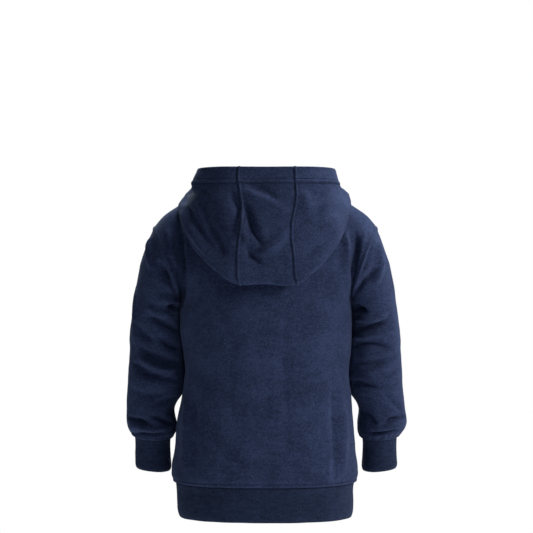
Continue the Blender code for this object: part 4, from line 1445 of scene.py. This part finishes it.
@dataclass(frozen=True)
class RibRing:
    """A ring of folded rib: fine wales, slightly uneven, folded at its lower edge."""

    name: str
    wales: int
    uneven: float  # height of its broad hills
    finish: Material
    fine: float = 0.0003
    wale_height: float = 0.00022
    # How far the painted shade reaches from the rib's seam.
    seam_mark: float = 0.0012

    def build(self, grid: Array, turn: Array, right: bool = False) -> tuple[Object, Cloth]:
        """Makes the ring.

        Args:
            grid: Its sections.
            turn: The angle of each of their points.
            right: Whether it is mirrored to the right side.

        Returns:
            The piece and its cloth.
        """
        cloth = Cloth(grid, closed_round=True)
        wale = 0.5 + 0.5 * np.cos(self.wales * turn)
        relief = self.wale_height * (wale - 1.0)
        relief += soft_unevenness(grid, self.uneven, self.fine) * smooth_step(cloth.down, 0.0, 0.01)
        outer_turn, inner_turn = cloth.turned([Edge.FIRST_ROW], [Edge.LAST_ROW], KNIT)
        heights = (relief - outer_turn, inner_turn - KNIT)
        faces = [mirrored(cloth.lifted(height), right) for height in heights]
        # The wale's height paints shade into the furrows, and the mark at the top row paints shade
        # along the seam to the body.
        marks = {"wale": wale, "painted_stitch_shade": np.exp(-((cloth.down / self.seam_mark) ** 2))}
        return cloth_object(self.name, cloth, faces, self.finish, marks), cloth


@dataclass
class Panels:
    """The front and the back."""

    body: BodyShape
    finishes: Finishes
    columns: int = 128
    rows: int = 165
    half_round: float = 0.16
    height: float = 0.36
    flat: Span = (0.330, 0.385)
    fades: Table = ((0.925, 0.99), (0.0, 0.03), (0.93, 0.99))  # at sides, waist, shoulder
    seam: CoverSeam = CoverSeam()
    stitches: Stitches = field(default_factory=lambda: Stitches("stitches_waist_seam"))

    def make(self, name: str, side: int, folds: Sequence[Fold]) -> tuple[Object, Cloth, str]:
        """Makes one panel: its surface, its folds, its seams and its wall.

        Args:
            name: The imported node's name.
            side: 1 for the back, -1 for the front.
            folds: Its creases.

        Returns:
            The piece, its cloth and its node.
        """
        gap = 0.5 * SEAM_GAP / self.half_round
        across = with_edges(-1 + gap, 1 - gap, self.columns, self.half_round)
        up = with_edges(0.0, 1 - 0.5 * SEAM_GAP / self.height, self.rows, self.height)
        u, v = np.meshgrid(across, up)
        cloth = Cloth(self.body.panel(side, u, v), flip=-side)
        grid, (at_sides, at_waist, at_shoulder) = cloth.grid, self.fades
        fade = (1 - smooth_step(np.abs(u), *at_sides)) * smooth_step(v, *at_waist)
        fade *= 1 - smooth_step(v, *at_shoulder)
        relief = BODY_FOLD_DEPTH * folds_relief(grid[..., 0], grid[..., 2], folds)
        relief = (relief + soft_unevenness(grid)) * fade + self.seam.relief(cloth.down)
        outer_turn, _ = cloth.turned(list(Edge), [], FLEECE)
        faces = cloth.lifted(relief - outer_turn), cloth.lifted(relief - FLEECE)
        # A mask of painted shade along the waist seam's stitch rows.
        marks = {"painted_stitch_shade": self.seam.mark(cloth.down)}
        piece = cloth_object(name + "_cloth", cloth, faces, self.finishes.fleece, marks)
        inside = [part[:, 1:-1] for part in (faces[0], cloth.outward, cloth.down)]
        self.stitches.along(self.seam, *inside)
        return piece, cloth, name

    def build(self) -> None:
        """Makes both panels and the stitches above the waistband."""
        made = [self.make("back", 1, BACK_FOLDS), self.make("front", -1, FRONT_FOLDS)]
        thread = [self.stitches.build(self.finishes.thread)]
        for piece, cloth, node in made:
            area, under = cloth.area(), ["waistband_rib"]
            declare(piece, node, self.flat, area)


@dataclass
class Sleeves:
    """Both sleeves with their cuffs."""

    shape: SleeveShape
    finishes: Finishes
    around: int = 136
    along: int = 150
    length: float = 0.27
    radius: float = 0.033  # turns degrees of the folds' places into lengths
    flat: Span = (0.270, 0.270)
    uneven: Span = (0.0011, 0.0003)
    gather_count: float = 5.5
    gather_height: float = 0.0013
    gather_place: Span = (0.006, 0.010)  # above the cuff, and how far
    armhole_ridge: Numbers = (0.0010, 0.0030, 0.0026)  # its height, place and half width
    fades: tuple[Span, Span] = ((0.001, 0.012), (0.001, 0.006))  # off the armhole and cuff
    wales: int = 76
    cuff_rows: int = 14
    cuff_length: float = 0.040
    cuff_flat: Span = (0.140, 0.042)
    cuff_uneven: float = 0.0008
    seam: CoverSeam = CoverSeam()
    stitches: Stitches = field(default_factory=lambda: Stitches("stitches_cuff_seams"))

    def grid_of(self, around: int, along: int, length: float) -> tuple[Array, Array]:
        """Even angles round a sleeve and places along it, close together at its ends."""
        turns = np.linspace(0, 2 * math.pi, around + 1)[:-1]
        return tuple(np.meshgrid(turns, with_edges(0.0, 1.0, along, length)))

    def gathers(self, turn: Array, to_cuff: Array, right: bool) -> Array:
        """Small folds where the sleeve is gathered into its cuff."""
        round_it = np.stack([np.cos(turn), np.sin(turn), 0 * turn], axis=-1)
        waves = NOISE.at(round_it * self.gather_count + (7.0 if right else 2.0), 1.0)
        middle, reach = self.gather_place
        return self.gather_height * (waves * np.exp(-(((to_cuff - middle) / reach) ** 2)))

    def sleeve(self, name: str, right: bool, folds: Sequence[Fold]) -> tuple[Object, Cloth]:
        """Makes one sleeve, gathered into its cuff.

        Args:
            name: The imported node's name.
            right: Whether it is the right one.
            folds: Its creases.

        Returns:
            The piece and its cloth.
        """
        turn, share = self.grid_of(self.around, self.along, self.length)
        cloth = Cloth(self.shape.sleeve(right, turn, share), closed_round=True)
        grid, from_armhole, to_cuff = cloth.grid, cloth.down, cloth.off(Edge.LAST_ROW)
        degrees, scale = np.degrees(turn), math.radians(1) * self.radius
        relief = np.zeros(turn.shape)
        for shift in (-360.0, 0.0, 360.0):
            relief += SLEEVE_FOLD_DEPTH * folds_relief(degrees + shift, grid[..., 2], folds, scale)
        relief += soft_unevenness(grid, *self.uneven) + self.gathers(turn, to_cuff, right)
        at_armhole, at_cuff = self.fades
        relief *= smooth_step(from_armhole, *at_armhole) * smooth_step(to_cuff, *at_cuff)
        relief = np.where(relief < 0, relief * (1 - self.shape.pressed(right, grid)), relief)
        relief += self.seam.relief(to_cuff)
        rise, middle, half_width = self.armhole_ridge
        relief += rise * np.exp(-(((from_armhole - middle) / half_width) ** 4))
        outer_turn, _ = cloth.turned([Edge.FIRST_ROW, Edge.LAST_ROW], [], FLEECE)
        face = self.shape.clear_of_body(right, cloth.lifted(relief))
        outer = mirrored(face - cloth.outward * outer_turn[..., None], right)
        inner = mirrored(face - cloth.outward * FLEECE, right)
        # A mask of painted shade along the cuff seam's stitch rows.
        faces, marks = (outer, inner), {"painted_stitch_shade": self.seam.mark(to_cuff)}
        piece = cloth_object(f"{name}_cloth", cloth, faces, self.finishes.fleece, marks)
        closed = np.concatenate([np.arange(self.around), [0]])
        ring = [part[:, closed] for part in (outer, along_unit(outer - inner), to_cuff)]
        self.stitches.along(self.seam, *ring)
        return piece, cloth

    def build(self) -> None:
        """Makes both sleeves, both cuffs and the stitches above the cuffs."""
        made = []
        for side, right, folds in (
            ("left", False, LEFT_SLEEVE_FOLDS),
            ("right", True, RIGHT_SLEEVE_FOLDS),
        ):
            sleeve = self.sleeve(f"sleeve_{side}", right, folds)
            turn, share = self.grid_of(4 * self.wales, self.cuff_rows, self.cuff_length)
            grid = self.shape.ring(CUFF_SECTIONS, right, turn, share)
            cuff = RibRing(f"cuff_{side}_rib", self.wales, self.cuff_uneven, self.finishes.rib)
            made.append((side, sleeve, cuff.build(grid, turn, right)))
        thread = [self.stitches.build(self.finishes.thread)]
        for side, (piece, cloth), (cuff, rib) in made:
            declare(
                piece, f"sleeve_{side}", self.flat, cloth.area(),
            )  # fmt: skip
            declare(cuff, f"cuff_{side}", self.cuff_flat, rib.area())


@dataclass
class Waistband:
    """The rib band round the bottom, one ring."""

    body: BodyShape
    finishes: Finishes
    wales: int = 360
    rows: int = 8
    height: float = 0.041
    flat: Span = (0.640, 0.042)
    uneven: float = 0.0012

    def build(self) -> None:
        """Makes the band: half a section behind and half in front, in one ring."""
        turns = np.linspace(0, 2, 4 * self.wales + 1)[:-1]
        levels = with_edges(0.0, 1.0, self.rows, self.height)
        top = BAND_SECTIONS[0].height
        u, height = np.meshgrid(turns, top + levels * (BAND_END - top))
        back = self.body.ring_half(BAND_SECTIONS, 1, 1 - 2 * u, height)
        front = self.body.ring_half(BAND_SECTIONS, -1, 2 * u - 3, height)
        grid = np.where((u <= 1.0)[..., None], back, front)
        ring = RibRing("waistband_rib", self.wales, self.uneven, self.finishes.rib)
        piece, cloth = ring.build(grid, np.pi * u)
        declare(piece, "waistband", self.flat, cloth.area())


@dataclass
class Hood:
    """The hood's centre panel and its two side panels."""

    shape: HoodShape
    finishes: Finishes
    side_columns: int = 104
    centre_columns: int = 40
    half_round: float = 0.40  # from the middle of the back to the middle of the front
    edge_round: float = 0.33  # the same, for the columns beside an edge
    section_length: float = 0.26
    lower_rows: Table = ((0.035, 0.13, 22), (0.15, 0.40, 14), (0.41, 0.47, 9))
    dense_rows: int = 260
    hanging_rows: int = 62
    hanging_power: float = 1.15  # crowds the rows towards the lowest fold
    hem_rows: Table = ((1.28, 0.76, 27), (0.72, 0.34, 8))  # in hem widths from the edge
    hem_clear: float = 1.30
    hem_width: float = 0.0185
    hem_share: float = 0.62  # the most that the hem takes of a short upper layer
    hem_rise: float = 0.0007
    hem_step: float = 0.002
    shown: Span = (0.50, 0.58)  # where the folds begin, past the lowest one
    hem_from: Span = (0.47, 0.52)
    off_seam: Span = (0.02, 0.06)
    off_edge: float = 0.004
    seam: CoverSeam = CoverSeam()
    hem: CoverSeam = CoverSeam(middle=0.0)
    fold_at: float = 0.47
    drift_from: float = 0.06  # past the lowest fold
    drift_reach: float = 0.09
    centre_flat: Span = (0.085, 0.300)
    side_flat: Span = (0.300, 0.280)
    least_area: float = 0.31  # of the flat size, since a sheet takes no less than 0.3 of it
    stitches: Stitches = field(default_factory=lambda: Stitches("stitches_hood"))
    # Heights of the panel seams on the hanging layer, and where they stand across it.
    left_drift: Table = (
        (-0.0980, 0.0354), (-0.0667, 0.0354), (-0.0493, 0.0342), (-0.0319, 0.0307),
        (-0.0203, 0.0296), (-0.0087, 0.0307), (0.0227, 0.0354), (0.0377, 0.0342),
    )  # fmt: skip
    right_drift: Table = (
        (-0.0980, -0.0307), (-0.0667, -0.0284), (-0.0493, -0.0261), (-0.0319, -0.0261),
        (-0.0087, -0.0307), (0.0029, -0.0319), (0.0204, -0.0307), (0.0377, -0.0296),
    )  # fmt: skip

    def places(self, shares: Array) -> tuple[Array, Array, Array]:
        """Where the rows lie along each section: the hem's line keeps its own rows.

        Args:
            shares: The ways round the hood.

        Returns:
            Places along each section by row and share, the lengths from the open edge,
            and each share's hem width.
        """
        lower = [EDGE_STEPS / self.section_length, *(np.linspace(*row) for row in self.lower_rows)]
        lower = np.concatenate(lower)
        dense = np.linspace(self.fold_at, 1.0, self.dense_rows)
        every = np.ones_like(shares)
        length = run_along(self.shape.at(shares, dense[:, None] * every))
        whole = length[-1]
        hem = np.minimum(self.hem_width, self.hem_share * whole)
        hanging = np.linspace(0.0, 1.0, self.hanging_rows)[1:-1, None] ** self.hanging_power
        near_hem = np.concatenate([np.linspace(*row) for row in self.hem_rows])[:, None]
        near_edge = (EDGE_STEPS[::-1] / self.hem_width)[1:, None]
        above = whole - hanging * (whole - self.hem_clear * hem)
        from_edge = np.concatenate([above, near_hem * hem, near_edge * hem])
        upper = [np.interp(w - f, l, dense) for w, f, l in zip(whole, from_edge.T, length.T)]
        rows = np.concatenate([lower[:, None] * every, np.stack(upper, axis=1)])
        return rows, np.concatenate([np.ones((len(lower), len(shares))), from_edge]), hem

    def drift(self, shares: Array, rows: int) -> Array:
        """How far sideways the panel seams wander on the hanging layer.

        Args:
            shares: The ways round the hood.
            rows: The number of rows.

        Returns:
            A shift in x by row and share.
        """
        seams = np.array([PANEL_SEAM, -PANEL_SEAM])
        along, _, _ = self.places(seams)
        line = self.shape.at(seams, along)
        shift = np.zeros((rows, len(shares)))
        shown = smooth_step(along[:, 0], self.fold_at, self.fold_at + self.drift_from)
        for column, drift in enumerate((self.left_drift, self.right_drift)):
            heights, places = np.array(drift).T
            wanted = np.interp(line[:, column, 2], heights, places) - line[:, column, 0]
            near = np.exp(-(((shares - seams[column]) / self.drift_reach) ** 2))
            shift += (wanted * shown)[:, None] * near[None, :]
        return shift

    def make(self, name: str, shares: Array, seams: Sequence[Edge]) -> tuple[Object, Cloth, str]:
        """Makes one panel of the hood.

        Args:
            name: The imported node's name.
            shares: Its columns' ways round the hood.
            seams: Its sides that are sewn to another panel.

        Returns:
            The piece, its cloth and its node.
        """
        along, from_edge, hem = self.places(shares)
        grid = self.shape.at(shares, along)
        grid[..., 0] += self.drift(shares, len(along))
        cloth = Cloth(grid)
        relief = HOOD_FOLD_DEPTH * folds_relief(grid[..., 0], grid[..., 2], HOOD_FOLDS)
        relief *= smooth_step(along, *self.shown)
        relief += soft_unevenness(grid) * smooth_step(along, *self.off_seam)
        relief *= smooth_step(from_edge, 0.0, self.off_edge)
        scaled = from_edge * (self.hem_width / hem)[None, :]
        to_hem = scaled - self.hem_width
        relief += self.hem.relief(to_hem) * smooth_step(along, *self.hem_from)
        hem_start = self.hem_width - self.hem_step
        relief += self.hem_rise * (1 - smooth_step(scaled, hem_start, self.hem_width))
        marks = self.hem.mark(to_hem)
        ridged = Edge.LAST_COLUMN in seams
        from_seam = cloth.off(Edge.LAST_COLUMN)
        if ridged:
            relief += self.seam.relief(from_seam)
            marks = np.maximum(marks, self.seam.mark(from_seam))
        sewn = [Edge.FIRST_ROW, *seams]
        free = [edge for edge in Edge if edge not in sewn]
        outer_turn, inner_turn = cloth.turned(sewn, free, FLEECE)
        faces = cloth.lifted(relief + FLEECE - outer_turn), cloth.lifted(relief + inner_turn)
        # A mask of painted shade along the hem's and the panel seam's stitch rows.
        marks = {"painted_stitch_shade": marks}
        piece = cloth_object(name + "_cloth", cloth, faces, self.finishes.fleece, marks)
        for level in self.hem.rows():
            self.stitches.follow(faces[0], cloth.outward, -to_hem, -level)
        if ridged:
            turned = [np.swapaxes(part, 0, 1) for part in (faces[0], cloth.outward, from_seam)]
            self.stitches.along(self.seam, *turned)
        return piece, cloth, name

    def build(self) -> None:
        """Makes the three panels and their stitches."""
        start = PANEL_SEAM + 0.5 * SEAM_GAP / self.half_round
        stop = PANEL_SEAM - 0.5 * SEAM_GAP / self.half_round
        side = with_edges(start, 1.0, self.side_columns, self.edge_round)
        centre = with_edges(-stop, stop, self.centre_columns, self.edge_round)
        made = [
            self.make("hood_centre", centre, [Edge.FIRST_COLUMN, Edge.LAST_COLUMN]),
            self.make("hood_left", side, [Edge.FIRST_COLUMN]),
            self.make("hood_right", -side[::-1], [Edge.LAST_COLUMN]),
        ]
        thread = [self.stitches.build(self.finishes.thread)]
        for piece, cloth, node in made:
            flat = self.centre_flat if node == "hood_centre" else self.side_flat
            area = max(cloth.area(), self.least_area * flat[0] * flat[1])
            declare(piece, node, flat, area)


# --- Studio ---


@dataclass(frozen=True)
class Studio:
    """A pale floor, soft lights and the camera."""

    floor_height: float = -0.80
    floor_radius: float = 1.5
    floor_sides: int = 96
    camera_at: Numbers = (0.0, 2.4, -0.080)
    lens: float = 135.08
    aim: Numbers = (0.0, 0.0, -0.12)
    warm: Numbers = (1.0, 0.985, 0.96)
    cool: Numbers = (0.86, 0.95, 1.0)
    fill: Numbers = (0.78, 0.92, 1.0, 1.0)
    fill_strength: float = 0.100
    lights: tuple[tuple, ...] = (  # name, place, watts, side
        ("key_light", (-2.2, 1.2, 0.9), 38.0, 0.8),
        ("soft_light", (-0.8, 2.3, 0.6), 3.5, 1.2),
        ("top_light", (-0.5, -0.7, 2.4), 62.0, 1.0),
        ("side_light", (-1.8, -1.0, 1.7), 42.0, 1.0),
        ("far_light", (0.9, -2.3, 1.2), 42.0, 1.2),
    )

    def floor(self) -> None:
        """A round pale floor well below the hem."""
        turn = np.linspace(0, 2 * math.pi, self.floor_sides + 1)[:-1]
        rim = np.stack([np.cos(turn), np.sin(turn), 0 * turn], axis=-1) * self.floor_radius
        rim[:, 2] = self.floor_height
        board = NodeBoard("pale_floor")
        tone = board.noise(board.place(), 6.0, 2.0)
        board.link(board.tint(tone, (0.86, 0.86, 0.86), (0.90, 0.90, 0.90)), "Base Color")
        board.shader.inputs["Roughness"].default_value = 0.9
        smooth_object("floor", rim.tolist(), [list(range(len(rim)))], board.material)

    def light(self, name: str, at: Numbers, power: float, size: float) -> None:
        """A square soft light of some watts that faces the garment."""
        lamp = bpy.data.lights.new(name, "AREA")
        lamp.energy = power
        lamp.color = self.warm if name == "key_light" else self.cool
        lamp.size = size
        made = linked(name, lamp)
        made.location = at
        made.rotation_euler = (Vector(self.aim) - Vector(at)).to_track_quat("-Z", "Y").to_euler()

    def world(self) -> None:
        """White all round, at less strength as light than as background."""
        world = bpy.data.worlds.new("studio")
        bpy.context.scene.world = world
        world.use_nodes = True
        tree = world.node_tree
        fill = tree.nodes["Background"]
        fill.inputs[0].default_value = self.fill
        fill.inputs[1].default_value = self.fill_strength
        seen = tree.nodes.new("ShaderNodeBackground")
        seen.inputs[0].default_value = (1.0, 1.0, 1.0, 1.0)
        path = tree.nodes.new("ShaderNodeLightPath")
        mix = tree.nodes.new("ShaderNodeMixShader")
        tree.links.new(path.outputs["Is Camera Ray"], mix.inputs[0])
        tree.links.new(fill.outputs[0], mix.inputs[1])
        tree.links.new(seen.outputs[0], mix.inputs[2])
        tree.links.new(mix.outputs[0], tree.nodes["World Output"].inputs[0])

    def camera(self) -> None:
        """A level camera behind the garment."""
        camera = bpy.data.cameras.new("camera")
        camera.lens = self.lens
        camera.sensor_width = 36.0
        made = linked("camera", camera)
        made.location = self.camera_at
        made.rotation_euler = (math.pi / 2, 0.0, math.pi)
        bpy.context.scene.camera = made

    def build(self) -> None:
        """Sets up the camera, the floor and the lights."""
        bpy.context.scene.view_settings.view_transform = "Standard"
        self.camera()
        self.floor()
        self.world()
        for light in self.lights:
            self.light(*light)


def main() -> None:
    """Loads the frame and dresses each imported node."""
    logging.basicConfig(level=logging.INFO, format="%(message)s")
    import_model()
    Studio().build()
    finishes = Finishes(*(kind().material() for kind in (FleeceFinish, RibFinish, ThreadFinish)))
    body = BodyShape()
    Waistband(body, finishes).build()
    Panels(body, finishes).build()
    Sleeves(SleeveShape(body), finishes).build()
    Hood(HoodShape(body), finishes).build()


if __name__ == "__main__":
    main()
